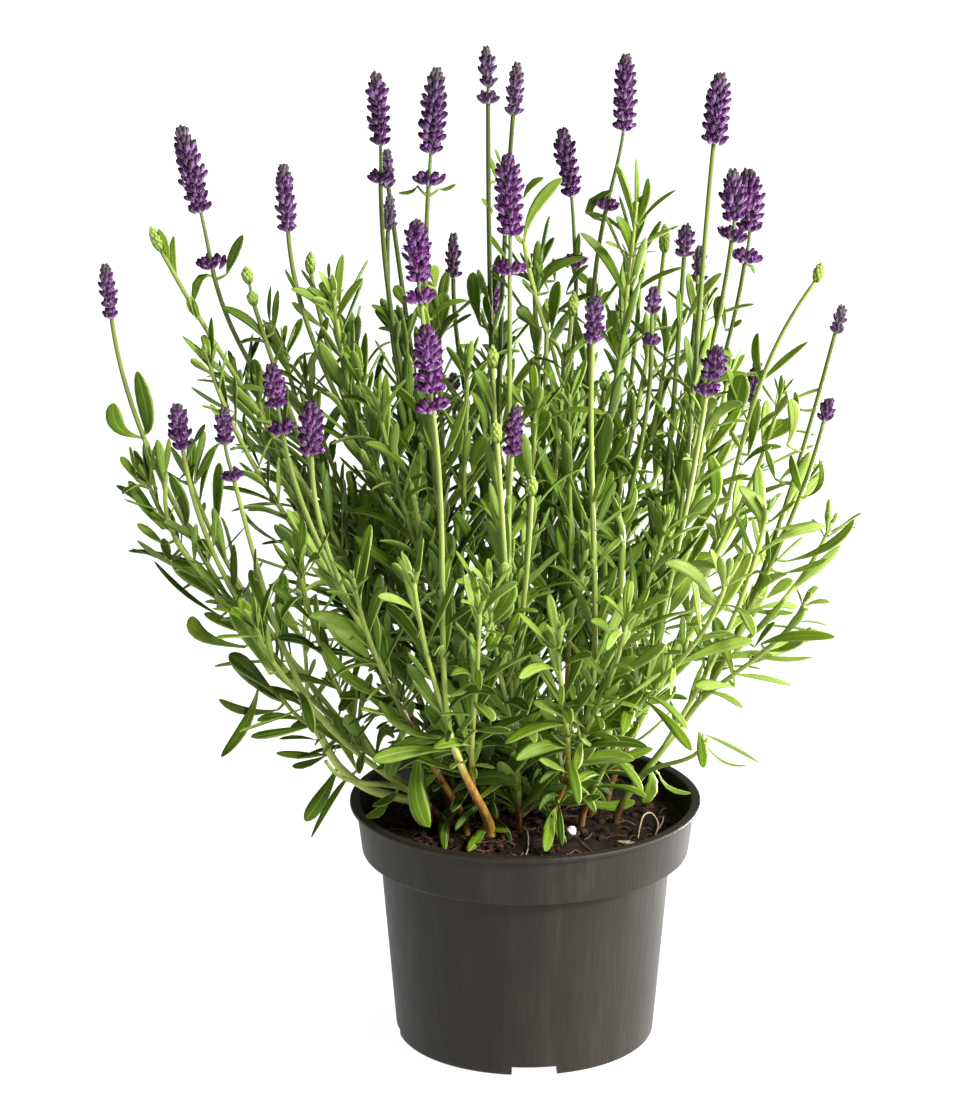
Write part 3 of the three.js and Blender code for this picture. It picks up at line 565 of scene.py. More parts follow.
# foot is where a stem leaves the soil (x, y), and fork is where its shoots part. A spike has
# its stalk end, its neck where a lower whorl stands apart, and its tip; then its width, how
# far its flowers are open, and how grey it is. A bud has its foot and tip. A leafy tip has
# the place of its topmost leaves. woody is how far the bark reaches up the stem, fresh how
# orange it is, bare how far up the lowest leaves are, shed the share of leaves lost,
# crown the scale of its topmost leaves, pale how much paler than its leaves it is,
# foot_radius how thick it is where it leaves the soil, and slant the way its bud stalk ends
# where that isn't the bud's own.
STEMS = {
    "far_left": {
        "foot": (-46, -8), "fork": (-136, -40, 226), "woody": 30, "bare": 54, "shed": 0.45,
        "pale": 0.34,
        "spikes": {
            "far_left": (((-193.6, -20, 364), (-196.4, -20, 391)), 9.6, 0.3, 0.1),
            "low_left": (((-159, -60, 312), (-162, -60, 335)), 12, 0.4, 0.1),
        },
        "tips": ((-178, -44, 296), (-116, -50, 190)),
        "more_tips": ((-160, -12, 288),),
    },
    "left_front": {
        "foot": (-38, -17), "fork": (-100, -62, 186), "woody": 24, "bare": 58, "shed": 0.45,
        "pale": 0.34,
        "spikes": {
            "left_front": (((-135, -70, 300), (-139, -70, 317), (-139, -70, 336)), 11, 0.3, 0.1),
        },
        "tips": ((-126, -92, 240), (-94, -72, 164)),
        "more_tips": ((-106, -76, 262),),
    },
    "left_middle": {
        "foot": (-36, -2), "fork": (-84, 0, 236), "woody": 90, "bare": 14, "shed": 0.26,
        "spikes": {},
        "buds": (((-172, 10, 390), (-177, 10, 402)), ((-129, 20, 361), (-133, 20, 380))),
        "tips": ((-150, -6, 342),),
        "more_tips": ((-128, 14, 320),),
    },
    "left_back": {
        "foot": (-34, 16), "fork": (-80, 40, 240), "woody": 100,
        "spikes": {
            "tall_left": (((-149, 30, 376), (-154, 30, 403), (-163, 30, 445)), 16, 0.25, 0),
        },
        "tips": ((-140, 62, 316),),
        "more_tips": ((-118, 70, 330),),
    },
    "left_inner": {
        "foot": (-26, 2), "fork": (-62, 10, 250), "woody": 110,
        "spikes": {
            "left_inner": (((-112, 10, 398), (-114, 10, 432)), 11, 0.3, 0.2),
        },
        "buds": (((-103, 50, 369), (-103, 50, 380)),),
        "tips": ((-92, 20, 362),),
        "more_tips": ((-78, 4, 332), (-106, 30, 324)),
    },
    "front_left": {
        "foot": (-28, -22), "fork": (-62, -66, 196), "woody": 92, "fresh": 0.6, "bare": 26,
        "shed": 0.3,
        "spikes": {
            "front_left_a": (((-113, -60, 320), (-115, -60, 332), (-118, -60, 354)), 13, 0.6, 0),
            "front_left_b": (((-99, -80, 315), (-99, -80, 342)), 14, 0.7, 0),
        },
        "tips": ((-80, -98, 262),),
    },
    # The front stem's pale is partly its own pale young green and partly painted light, which
    # brightens its trunk where leaves shade it.
    "front": {
        "foot": (-17, -24), "fork": (-36, -84, 182), "woody": 66, "fresh": 1.0, "bare": 60,
        "shed": 0.24, "pale": 0.62, "foot_radius": 2.9,
        "spikes": {
            "front": (((-43, -110, 345), (-44, -110, 353), (-46, -110, 386)), 15, 1.0, 0),
        },
        "tips": ((-52, -118, 268),),
        "more_tips": ((-22, -112, 252),),
    },
    "middle_left_back": {
        "foot": (-22, 16), "fork": (-48, 46, 252), "woody": 120,
        "spikes": {
            "tall_b": (((-69, 40, 415), (-69, 40, 433), (-71, 40, 469)), 13, 0.5, 0.1),
            "dark_high": (((-66, 80, 403), (-67, 80, 423)), 9, 0.0, 0.5),
            "dark_low": (((-66, 60, 387), (-65, 60, 405)), 9, 0.0, 0.9),
            "hidden_left": (((-61, 66, 338), (-61, 66, 347)), 8, 0.3, 0.1),
        },
        "tips": ((-84, 74, 330),),
        "more_tips": ((-58, 60, 338), (-42, 70, 346)),
    },
    "middle_left": {
        "foot": (-14, -6), "fork": (-40, -12, 246), "woody": 90,
        "spikes": {
            "tall_c": (((-46, 20, 419), (-45, 20, 434), (-42, 20, 475)), 16, 0.15, 0),
            "middle_left": (((-49, -50, 380), (-50, -50, 389), (-51, -50, 419)), 14, 0.9, 0),
        },
        "tips": ((-28, -4, 338),),
        "more_tips": ((-70, -24, 328),),
    },
    "middle_back": {
        "foot": (-6, 26), "fork": (-14, 64, 250), "woody": 120,
        "spikes": {
            "tall_d": (((-18, 60, 449), (-18, 60, 457), (-19, 60, 477)), 11, 0.1, 0.3),
            "tall_e": (((-6, 80, 439), (-4, 80, 465)), 11, 0.1, 0.4),
            "dark_middle": (((-35, 100, 353), (-35, 100, 376)), 10, 0.0, 0.4),
            "hidden_middle": (((-35, 92, 298), (-35, 92, 308)), 8, 0.1, 0.3),
        },
        "tips": ((-12, 104, 322),),
    },
    "middle_front": {
        "foot": (-3, -20), "fork": (-8, -58, 214), "woody": 20, "bare": 12,
        "spikes": {
            "centre": (((-8, -40, 391), (-8, -40, 409), (-9, -40, 448)), 15, 0.8, 0),
            "half_hidden": (((-7, -60, 309), (-5, -60, 334)), 10, 0.6, 0),
        },
        "buds": (((-14, -90, 325), (-15, -90, 336)), ((2, -84, 298), (2, -84, 308)),
                 ((-16, -30, 344), (-16, -30, 355))),
        "tips": (),
        "more_tips": ((-18, -96, 258), (4, -40, 330)),
    },
    "middle": {
        "foot": (2, 8), "fork": (8, 20, 262), "woody": 120,
        "spikes": {
            "tall_f": (((24, 60, 369), (22, 60, 403), (17, 60, 438)), 13, 0.4, 0),
        },
        "buds": (((10, 30, 350), (10, 30, 362)), ((22, 28, 354), (23, 28, 366))),
        "tips": ((4, 48, 372),),
        "more_tips": ((18, 10, 340), (32, 50, 350)),
    },
    "middle_right": {
        "foot": (14, -4), "fork": (28, 6, 252), "woody": 100,
        "spikes": {
            "tall_g": (((38, 40, 402), (46, 40, 440), (47, 40, 478)), 12.8, 0.4, 0.1),
        },
        "buds": (((37, 14, 321), (38, 14, 331)),),
        "tips": ((52, 22, 398),),
        "more_tips": ((20, -24, 330),),
    },
    "front_right": {
        "foot": (12, -18), "fork": (30, -66, 190), "woody": 75, "fresh": 0.5, "bare": 14,
        "spikes": {
            "front_right": (((30, -60, 363), (31, -60, 386)), 11, 0.7, 0.2),
        },
        "tips": ((46, -104, 248), (64, -72, 282)),
        "more_tips": ((14, -104, 236),),
    },
    "right_inner": {
        "foot": (22, 14), "fork": (42, 28, 246), "woody": 110,
        "spikes": {
            "two_tier": (((59, 0, 346), (59, 0, 361), (60, 0, 375)), 9, 0.5, 0.2),
        },
        "buds": (((66, 40, 382), (66, 40, 396)), ((56, 70, 364), (56, 70, 375))),
        "tips": ((48, 66, 334),),
        "more_tips": ((68, 40, 338),),
    },
    "right_front": {
        "foot": (27, -12), "fork": (62, -46, 212), "woody": 20, "bare": 22, "shed": 0.34,
        "spikes": {
            "tall_h": (((87, 0, 443), (90, 0, 477)), 15.5, 0.4, 0),
            "right_front": (((82, -70, 341), (83, -70, 348), (88, -70, 365)), 13, 0.6, 0.1),
        },
        "tips": ((92, -94, 262),),
        "more_tips": ((84, -36, 322),),
    },
    "right_middle": {
        "foot": (32, 4), "fork": (66, 22, 246), "woody": 60, "shed": 0.3,
        "spikes": {
            "pair_left": (((97, 20, 392), (98, 20, 401), (97, 20, 427)), 14.5, 0.3, 0),
            "pair_right": (((105, 50, 374), (107, 50, 389), (106, 50, 420)), 16.5, 0.6, 0),
            "small_a": (((75, 30, 381), (76, 30, 398)), 10, 0.4, 0.3),
            "small_b": (((83, 60, 361), (84, 60, 380)), 9, 0.1, 0.8),
        },
        "tips": ((98, 44, 322),),
        "more_tips": ((84, 16, 318), (86, 40, 356)),
    },
    "far_right": {
        "foot": (44, -6), "fork": (98, -22, 204), "woody": 15, "bare": 56, "shed": 0.58,
        "crown": 0.72,
        "spikes": {
            "far_right_low": (((140.2, -10, 311.3), (143, -10, 323.8)), 9, 0.5, 0.3),
            "far_right_high": (((146.8, 20, 346.3), (150.2, 20, 360.7)), 9, 0.2, 0.7),
        },
        "tips": ((132, -44, 236), (146, 4, 258), (86, -46, 166)),
        "more_tips": ((112, -54, 282),),
    },
    "right_back": {
        "foot": (40, 20), "fork": (88, 40, 222), "woody": 40, "bare": 30, "shed": 0.58,
        "crown": 0.72,
        "spikes": {
            "back_right": (((112, 104, 288), (115, 106, 310)), 10, 0.4, 0.1),
        },
        "buds": (((136, 0, 377.6), (138.6, 0, 387)),),
        "slant": (0.66, 0.05, 0.9),
        "tips": ((122, 22, 318), (136, 62, 264)),
    },
    "back_right": {
        "foot": (14, 38), "fork": (38, 88, 214), "woody": 60, "shed": 0.28,
        "spikes": {
            "back_a": (((48, 124, 312), (49, 126, 338)), 11, 0.4, 0),
        },
        "tips": ((78, 112, 286), (20, 134, 268)),
        "more_tips": ((70, 128, 226),),
    },
    "back_left": {
        "foot": (-18, 38), "fork": (-54, 88, 212), "woody": 60, "shed": 0.28,
        "spikes": {
            "back_b": (((-86, 118, 302), (-89, 120, 326)), 11, 0.5, 0),
            "back_c": (((-14, 140, 318), (-14, 143, 342)), 11, 0.4, 0),
        },
        "tips": ((-124, 92, 268), (-56, 132, 262)),
        "more_tips": ((-88, 118, 214),),
    },
}


def bent(a, b, c, d, count):
    """Points along a cubic curve with two ends and two handles."""
    line = []
    for i in range(count + 1):
        t = i / count
        s = 1 - t
        line.append(a * s ** 3 + b * 3 * s * s * t + c * 3 * s * t * t + d * t ** 3)
    return line


def trunk_line(foot, fork, count):
    """Upright out of the soil, then leaning over to the fork."""
    x, y = foot
    ground = soil_top(x, y)
    end = Vector(fork)
    rise = end.z - ground
    return bent(
        Vector((x, y, ground + 1.5)),
        Vector((x, y, ground + 0.16 * rise)),
        Vector((x + (end.x - x) * 0.62, y + (end.y - y) * 0.62, ground + 0.52 * rise)),
        end, count)


def place_on(line, share):
    """The place at a share of a line's sections, and the way the line runs there."""
    count = len(line) - 1
    i = min(int(share * count), count - 1)
    return line[i].lerp(line[i + 1], share * count - i), (line[i + 1] - line[i]).normalized()


def shoot_line(place, way, end, lean, bow, count):
    """A shoot parts from its stem on a slant and ends along lean; bow pushes it aside."""
    length = (end - place).length
    leaving = (way + (end - place).normalized()).normalized()
    return bent(place, place + leaving * length * 0.3 + bow,
                end - lean * length * 0.36 + bow, end, count)


class Room:
    """What is taken up already: balls along every line, each with its owner."""

    def __init__(self):
        self.centres = np.zeros((0, 3))
        self.radii = np.zeros(0)
        self.owners = np.zeros(0, dtype=int)
        self.names = {}

    def number(self, owner):
        return self.names.setdefault(owner, len(self.names))

    def claim(self, owner, centres, radii):
        self.centres = np.concatenate([self.centres, centres])
        self.radii = np.concatenate([self.radii, radii])
        owners = np.full(len(radii), self.number(owner))
        self.owners = np.concatenate([self.owners, owners])

    def clear(self, centres, radii, mine, clearance):
        others = ~np.isin(self.owners, [self.number(owner) for owner in mine])
        apart = np.linalg.norm(centres[:, None] - self.centres[others][None], axis=2)
        return bool((apart > radii[:, None] + self.radii[others][None] + clearance).all())


def balls_along(points, radius_at):
    centres = []
    radii = []
    for i in range(len(points) - 1):
        count = max(1, int((points[i + 1] - points[i]).length / BALL_GAP + 0.5))
        for j in range(count + 1):
            centres.append(points[i].lerp(points[i + 1], j / count))
            radii.append(radius_at((i + j / count) / (len(points) - 1)))
    return np.array(centres), np.array(radii)


def clear_of_pot(centres, radii, spare):
    """Over the soil inside the pot, over the lip, or outside the pot and off the ground."""
    for (x, y, z), radius in zip(centres, radii):
        out = hypot(x, y)
        reach = radius + spare
        if out - reach > RIM_RADIUS:
            if z < reach:
                return False
        elif out + reach < COLLAR_FOOT_RADIUS - WALL:
            if z - reach < soil_top(x, y):
                return False
        elif z - reach < POT_HEIGHT:
            return False
    return True


# The ways that a shoot is pushed aside in: not at all, then three sizes of bow all round.
BOWS = [Vector((0, 0, 0))]
for size in (6, 12, 18):
    for i in range(8):
        BOWS.append(Vector((size * cos(i * pi / 4), size * sin(i * pi / 4), 0)))


def clear_bow(room, node, spike, place, way, end, lean):
    """The least bow that keeps a shoot clear of the other stems."""
    length = (end - place).length
    sections = max(2, int(length / SECTION_LENGTH + 0.5))
    for bow in BOWS:
        line = shoot_line(place, way, end, lean, bow, sections)
        centres, radii = balls_along(line, lambda t: 1.45 - 0.35 * t)
        if (room.clear(centres, radii, [node, spike], STEM_CLEARANCE)
                and clear_of_pot(centres[3:], radii[3:], LEAF_CLEARANCE)):
            room.claim(node, centres, radii)
            return bow
    room.claim(node, centres, radii)
    return BOWS[0]


room = Room()
for name, stem in STEMS.items():
    for spike, (path, wide, bloom, grey) in stem["spikes"].items():
        points = [Vector(p) for p in path]
        room.claim(spike + " spike", *balls_along(points, lambda t: wide / 2))
for name, stem in STEMS.items():
    x, y = stem["foot"]
    line = [Vector((x, y, soil_top(x, y) - HOLE_DEPTH)), *trunk_line(stem["foot"], stem["fork"], 4)]
    room.claim(name, *balls_along(line, lambda t: TRUNK_ROOM))

# Leaves keep off the perlite, so that it stays in sight from the front.
x, y = PERLITE_AT
for i in range(4):
    centre = [(x, y - 8 * i, soil_top(x, y) + 3 + 2.6 * i)]
    room.claim("perlite", np.array(centre), np.full(1, PERLITE_ROOM))

# The course of every trunk and shoot. A stem's tallest shoot parts from it highest, and each
# is bowed just enough to miss what is there already.
grown = {}
for name, stem in STEMS.items():
    trunk = trunk_line(stem["foot"], stem["fork"], 4)
    ends = [(path, spike + " spike", LEAFY_TO_SPIKE)
            for spike, (path, *_) in stem["spikes"].items()]
    ends += [(path, None, LEAFY_TO_BUD) for path in stem.get("buds", ())]
    ends += [((tip,), None, 1.0) for tip in stem["tips"]]
    ends.sort(key=lambda end: -end[0][0][2])
    ends += [((tip,), None, 1.0) for tip in stem.get("more_tips", ())]
    listed = len(ends) - len(stem.get("more_tips", ()))
    for path, _, leafy in ends:
        if leafy == LEAFY_TO_BUD:
            points = [Vector(p) for p in path]
            room.claim(name, *balls_along(points, lambda t: BUD_WIDTH / 2))
    shoots = []
    for rank, (path, spike, leafy) in enumerate(ends):
        end = Vector(path[0])
        place_in_row = min(rank, listed - 1) / max(1, listed - 1)
        ground = trunk[0].z
        rise = trunk[-1].z - ground
        share = min(1 - FORK_SPREAD * place_in_row,
                    max(LOWEST_FORK, 0.62 * (end.z - ground) / rise))
        if rank >= listed:
            share = max(LOWEST_FORK, share - MORE_TIPS_DROP)
        place, way = place_on(trunk, share)
        if len(path) > 1:
            lean = (Vector(path[1]) - end).normalized()
            if "slant" in stem and not spike:
                lean = Vector(stem["slant"]).normalized()
            elif not spike:
                lean = (lean + 1.4 * (end - place).normalized()).normalized()
        else:
            lean = ((end - place).normalized() + UP).normalized()
        bow = clear_bow(room, name, spike or name, place, way, end, lean)
        length = (end - place).length
        shoots.append({"line": shoot_line(place, way, end, lean, bow, max(8, int(length / 5))),
                       "path": [Vector(p) for p in path], "leafy": leafy, "spike": spike})
    grown[name] = {"trunk": trunk_line(stem["foot"], stem["fork"], 28), "shoots": shoots}

# The camera that took the photograph, which also places what is read from it.
CAMERA_PLACE = Vector((-19.5, -2369, 982))
CAMERA_PITCH = radians(17.31)
PHOTO_WIDTH = 970
PHOTO_HEIGHT = 1106
FOCAL_PIXELS = 5200
AHEAD = Vector((0, cos(CAMERA_PITCH), -sin(CAMERA_PITCH)))
OVERHEAD = Vector((0, sin(CAMERA_PITCH), cos(CAMERA_PITCH)))
NEAREST_DEPTH = -127

# Single twigs and leaves that the photograph shows plainly, read one by one. Each has the pixels
# that it passes through, foot first and tip last, as (across, down) in the 970 x 1106
# photograph, then its width in millimetres and how pale it is.
# How pale a twig or leaf is sets its tone. That tone is its own colour with painted light and shade
# from where it grows.
SEEN_TWIGS = (
    (((432, 806), (410, 800), (370, 789), (340, 767), (320, 735), (304, 712)), 4.4, 0.78),
    (((198, 576), (178, 544), (166, 509), (166, 473)), 2.6, 0.6),
    (((305, 714), (307, 684), (304, 636), (305, 600), (296, 589)), 2.1, 0.65),
    (((340, 358), (340, 341), (335, 308), (334, 280)), 2.4, 0.65),
    (((543, 330), (535, 294), (528, 265), (524, 242)), 2.6, 0.65),
    (((623, 330), (629, 269), (633, 241), (637, 202)), 2.1, 0.65),
    (((426, 553), (419, 526), (411, 484)), 2.9, 0.6),
    (((571, 613), (580, 582), (587, 542), (590, 520)), 3.1, 0.7),
    (((631, 680), (622, 609), (622, 564), (622, 531), (618, 515)), 3.5, 0.7),
    (((590, 745), (581, 738), (577, 719), (575, 703)), 1.9, 0.65),
    (((470, 778), (471, 768), (472, 757)), 1.8, 0.6),
)
SEEN_LEAVES = (
    (((420, 748), (416, 790), (428, 827)), 8.5, 0.35),
    (((452, 806), (444, 822), (445, 850)), 5, 0.3),
    (((484, 828), (478, 838), (469, 850)), 4.5, 0.4),
    (((398, 790), (388, 800), (372, 806)), 5, 0.3),
    (((440, 770), (425, 783), (408, 796)), 4, 0.45),
    (((501, 164), (495, 149)), 2, 0.5),
    (((417, 186), (411, 192), (398, 193)), 2, 0.25),
    (((439, 189), (447, 189), (456, 184)), 2, 0.4),
    (((493, 211), (481, 199)), 2.5, 0.5),
    (((497, 181), (490, 157)), 2.5, 0.5),
    (((524, 198), (531, 185), (544, 178)), 3.5, 0.45),
    (((606, 218), (589, 208), (613, 190)), 4.5, 0.25),
    (((631, 229), (627, 193), (616, 164)), 3.5, 0.5),
    (((631, 229), (628, 198), (620, 172)), 3, 0.5),
    (((637, 221), (637, 193), (636, 158)), 2.5, 0.6),
    (((638, 227), (645, 202), (648, 178)), 4, 0.5),
    (((639, 225), (654, 206), (676, 190)), 2, 0.35),
    (((168, 265), (166, 245), (158, 229)), 3, 0.5),
    (((178, 283), (173, 258), (174, 236)), 3.5, 0.55),
    (((196, 317), (190, 308), (188, 297)), 2.2, 0.5),
    (((197, 317), (197, 309), (194, 299)), 2.2, 0.6),
    (((196, 318), (193, 308), (191, 295)), 2.4, 0.55),
    (((212, 276), (199, 280), (194, 301)), 4, 0.25),
    (((227, 274), (233, 256), (243, 235)), 4.5, 0.25),
    (((329, 280), (329, 263)), 2, 0.3),
    (((436, 288), (434, 265)), 5.5, 0.6),
    (((493, 277), (506, 281)), 2, 0.55),
    (((508, 261), (497, 246), (488, 233)), 2.5, 0.4),
    (((522, 246), (515, 236)), 2.5, 0.55),
    (((527, 242), (535, 208), (562, 178)), 5.5, 0.55),
    (((533, 296), (522, 279)), 2, 0.3),
    (((539, 292), (554, 269), (586, 257)), 3.5, 0.4),
    (((549, 292), (535, 260)), 2, 0.45),
    (((555, 281), (553, 258)), 2.5, 0.5),
    (((566, 294), (575, 277), (589, 265)), 3, 0.45),
    (((572, 277), (577, 256), (579, 233)), 3, 0.2),
    (((572, 267), (588, 284)), 5.5, 0.2),
    (((629, 258), (627, 233), (616, 217)), 5, 0.5),
    (((633, 254), (645, 221)), 3, 0.45),
    (((746, 265), (752, 267), (754, 274)), 2, 0.45),
    (((267, 343), (249, 321), (222, 307)), 4.5, 0.35),
    (((270, 323), (269, 306), (271, 286)), 2, 0.3),
    (((274, 332), (275, 313), (278, 290)), 3, 0.4),
    (((290, 358), (277, 339), (262, 319)), 4, 0.35),
    (((298, 300), (293, 284), (285, 269)), 2, 0.3),
    (((316, 345), (323, 332), (328, 317)), 4, 0.25),
    (((322, 328), (307, 315), (292, 302)), 3.5, 0.4),
    (((331, 308), (320, 295), (308, 288)), 3.5, 0.35),
    (((333, 304), (327, 284), (318, 271)), 3, 0.7),
    (((336, 300), (334, 287), (332, 274)), 3, 0.6),
    (((340, 323), (316, 300), (291, 289)), 4.5, 0.5),
    (((340, 306), (339, 280), (343, 254)), 4, 0.55),
    (((340, 319), (346, 300), (363, 278)), 4, 0.55),
    (((340, 345), (345, 333)), 5, 0.65),
    (((360, 358), (353, 339), (346, 319)), 6, 0.25),
    (((397, 325), (386, 313), (371, 305)), 3, 0.45),
    (((403, 309), (394, 286)), 5.5, 0.3),
    (((430, 328), (418, 305)), 5.5, 0.5),
    (((432, 319), (445, 305), (468, 301)), 3, 0.5),
    (((441, 330), (443, 311), (441, 292)), 8, 0.3),
    (((447, 330), (472, 314)), 2, 0.35),
    (((480, 325), (475, 298), (473, 272)), 6.5, 0.32),
    (((488, 330), (485, 296)), 4, 0.3),
    (((539, 330), (527, 317), (517, 308)), 7, 0.35),
    (((552, 330), (554, 307), (559, 281)), 6, 0.35),
    (((615, 330), (612, 310)), 6, 0.4),
    (((623, 304), (608, 261), (580, 233)), 4.5, 0.4),
    (((626, 304), (649, 281), (685, 267)), 2.5, 0.35),
    (((627, 330), (629, 307), (631, 285)), 2.5, 0.25),
    (((631, 317), (631, 285)), 3.5, 0.2),
    (((635, 330), (639, 308)), 3.5, 0.5),
    (((679, 330), (678, 290)), 2.5, 0.5),
    (((686, 323), (702, 294), (722, 273)), 4, 0.55),
    (((714, 330), (718, 311), (720, 296)), 5.5, 0.4),
    (((725, 330), (723, 302)), 2.5, 0.3),
    (((735, 330), (742, 320)), 2.5, 0.4),
    (((231, 389), (263, 390)), 3, 0.55),
    (((234, 381), (212, 363), (182, 336)), 3.5, 0.4),
    (((236, 413), (191, 387)), 2, 0.1),
    (((261, 417), (254, 359)), 6, 0.15),
    (((497, 413), (486, 390), (475, 370)), 6, 0.35),
    (((760, 380), (756, 356), (758, 333)), 4.8, 0.45),
    (((761, 380), (784, 361), (808, 342)), 4.6, 0.5),
    (((788, 399), (779, 381)), 2.5, 0.5),
    (((798, 409), (795, 392)), 2.5, 0.3),
    (((136, 477), (130, 446)), 2, 0.4),
    (((139, 437), (118, 426), (114, 403)), 7.5, 0.35),
    (((143, 434), (148, 419), (137, 371)), 7.5, 0.22),
    (((156, 471), (150, 470)), 1, 0.5),
    (((162, 475), (159, 446)), 2, 0.5),
    (((165, 473), (169, 438)), 3.5, 0.6),
    (((193, 444), (205, 424)), 2.5, 0.15),
    (((262, 473), (236, 419)), 2, 0.1),
    (((279, 426), (255, 420)), 2, 0.55),
    (((376, 446), (378, 426), (384, 395)), 9, 0.15),
    (((408, 475), (390, 452), (365, 443)), 4, 0.5),
    (((428, 424), (413, 404), (394, 385)), 4.5, 0.4),
    (((439, 475), (453, 437), (466, 400)), 4, 0.5),
    (((442, 473), (455, 455), (462, 428)), 4, 0.4),
    (((473, 473), (477, 453), (490, 435)), 7.5, 0.45),
    (((484, 439), (483, 413), (470, 391)), 5, 0.35),
    (((522, 477), (520, 464), (519, 451)), 5, 0.45),
    (((522, 424), (531, 408), (547, 405)), 5, 0.35),
    (((538, 439), (544, 424), (547, 410)), 6, 0.3),
    (((553, 424), (558, 408), (562, 395)), 4, 0.3),
    (((602, 459), (596, 437), (591, 408)), 4.5, 0.35),
    (((607, 464), (618, 448), (627, 433)), 4, 0.35),
    (((731, 436), (736, 404), (743, 375)), 10, 0.35),
    (((743, 465), (760, 450), (782, 447)), 3, 0.4),
    (((748, 455), (754, 426), (758, 399)), 4.5, 0.4),
    (((762, 443), (779, 431), (798, 418)), 6, 0.5),
    (((762, 441), (772, 428), (785, 420)), 4.5, 0.5),
    (((775, 479), (766, 450)), 3, 0.35),
    (((787, 445), (794, 421), (790, 399)), 5.5, 0.75),
    (((137, 481), (120, 457)), 4, 0.4),
    (((157, 488), (131, 456)), 4, 0.45),
    (((163, 529), (128, 481)), 7.5, 0.22),
    (((169, 531), (150, 512)), 4.5, 0.5),
    (((178, 480), (196, 463)), 1.5, 0.15),
    (((183, 533), (185, 509), (170, 475)), 6, 0.25),
    (((195, 484), (215, 446)), 4, 0.3),
    (((203, 515), (205, 502)), 2.5, 0.5),
    (((274, 497), (256, 477), (239, 462)), 2, 0.1),
    (((401, 531), (395, 518), (382, 509)), 10.5, 0.2),
    (((428, 484), (417, 457), (400, 425)), 4.5, 0.35),
    (((484, 515), (482, 477)), 2.5, 0.5),
    (((569, 513), (553, 482), (538, 446)), 5.5, 0.35),
    (((587, 506), (582, 477)), 2.5, 0.5),
    (((593, 506), (598, 488), (607, 467)), 4, 0.6),
    (((600, 502), (607, 486), (612, 471)), 4.5, 0.45),
    (((622, 526), (618, 513), (612, 495)), 3.5, 0.6),
    (((625, 526), (631, 509), (636, 488)), 3.5, 0.6),
    (((707, 518), (716, 489), (710, 455)), 6, 0.45),
    (((733, 482), (761, 479)), 2, 0.4),
    (((733, 513), (755, 496), (790, 483)), 3, 0.3),
    (((760, 533), (758, 508), (739, 487)), 6.5, 0.6),
    (((770, 530), (817, 521)), 2.5, 0.6),
    (((779, 482), (796, 467), (818, 465)), 3, 0.65),
    (((802, 494), (795, 475), (791, 455)), 4, 0.35),
    (((808, 496), (821, 482), (819, 459)), 3, 0.3),
    (((163, 544), (137, 524)), 4.5, 0.4),
    (((165, 562), (130, 548)), 1, 0.1),
    (((169, 560), (164, 538)), 5, 0.35),
    (((207, 555), (187, 522)), 3, 0.15),
    (((213, 544), (214, 520)), 2.5, 0.5),
    (((216, 564), (201, 539)), 4, 0.55),
    (((220, 591), (206, 570)), 3, 0.4),
    (((224, 551), (246, 526)), 1, 0.1),
    (((232, 591), (234, 544)), 3.5, 0.15),
    (((254, 578), (256, 548)), 1.5, 0.15),
    (((294, 549), (254, 526), (239, 499)), 2, 0.05),
    (((329, 572), (286, 509)), 6, 0.6),
    (((334, 578), (366, 562), (399, 543)), 3.5, 0.4),
    (((422, 587), (404, 576), (385, 560)), 9, 0.15),
    (((433, 593), (440, 564), (451, 533)), 11, 0.6),
    (((435, 544), (439, 522), (446, 500)), 9, 0.2),
    (((474, 553), (468, 533), (455, 513)), 4.5, 0.45),
    (((500, 587), (511, 569), (515, 540)), 6, 0.45),
    (((502, 549), (520, 524), (541, 495)), 3.5, 0.6),
    (((555, 582), (547, 551), (526, 536)), 3.5, 0.5),
    (((569, 582), (564, 553), (560, 522)), 7.5, 0.5),
    (((618, 573), (598, 549), (580, 530)), 4.5, 0.55),
    (((618, 549), (605, 529), (587, 520)), 4, 0.5),
    (((621, 576), (632, 557), (646, 542)), 5, 0.6),
    (((622, 564), (631, 553), (640, 549)), 3.5, 0.6),
    (((690, 564), (709, 529)), 5, 0.5),
    (((721, 557), (741, 533), (745, 513)), 3.5, 0.2),
    (((748, 579), (743, 557), (732, 542)), 4, 0.5),
    (((755, 598), (767, 579)), 5, 0.75),
    (((767, 598), (779, 588), (793, 580)), 5.5, 0.6),
    (((771, 569), (767, 530)), 2.5, 0.25),
    (((784, 573), (808, 567), (827, 559)), 3, 0.5),
    (((788, 561), (830, 545), (854, 519)), 4, 0.4),
    (((221, 616), (185, 593), (154, 561)), 3, 0.15),
    (((230, 607), (201, 582), (172, 560)), 8.5, 0.35),
    (((245, 647), (203, 636), (193, 616)), 7, 0.4),
    (((268, 636), (262, 614), (254, 586)), 6, 0.3),
    (((270, 642), (254, 593)), 6, 0.15),
    (((297, 634), (277, 605)), 4.5, 0.55),
    (((300, 634), (277, 603)), 4.5, 0.65),
    (((300, 611), (298, 577)), 2.5, 0.5),
    (((384, 609), (359, 599), (330, 599)), 4.5, 0.5),
    (((386, 609), (372, 591), (362, 562)), 4, 0.55),
    (((419, 659), (412, 675), (418, 691)), 6, 0.6),
    (((422, 636), (419, 616), (419, 598)), 7.5, 0.35),
    (((451, 638), (464, 620), (473, 596)), 5, 0.5),
    (((486, 627), (502, 607), (514, 584)), 7.5, 0.4),
    (((489, 627), (500, 615), (512, 600)), 7, 0.35),
    (((553, 649), (544, 638), (545, 622)), 6.5, 0.55),
    (((558, 609), (538, 582), (515, 558)), 6.5, 0.35),
    (((620, 622), (607, 607), (595, 593)), 4, 0.5),
    (((651, 615), (634, 591), (627, 571)), 6.5, 0.45),
    (((658, 625), (680, 593), (688, 564)), 10, 0.5),
    (((733, 613), (714, 601), (699, 588)), 6.5, 0.5),
    (((743, 603), (744, 584)), 4.5, 0.7),
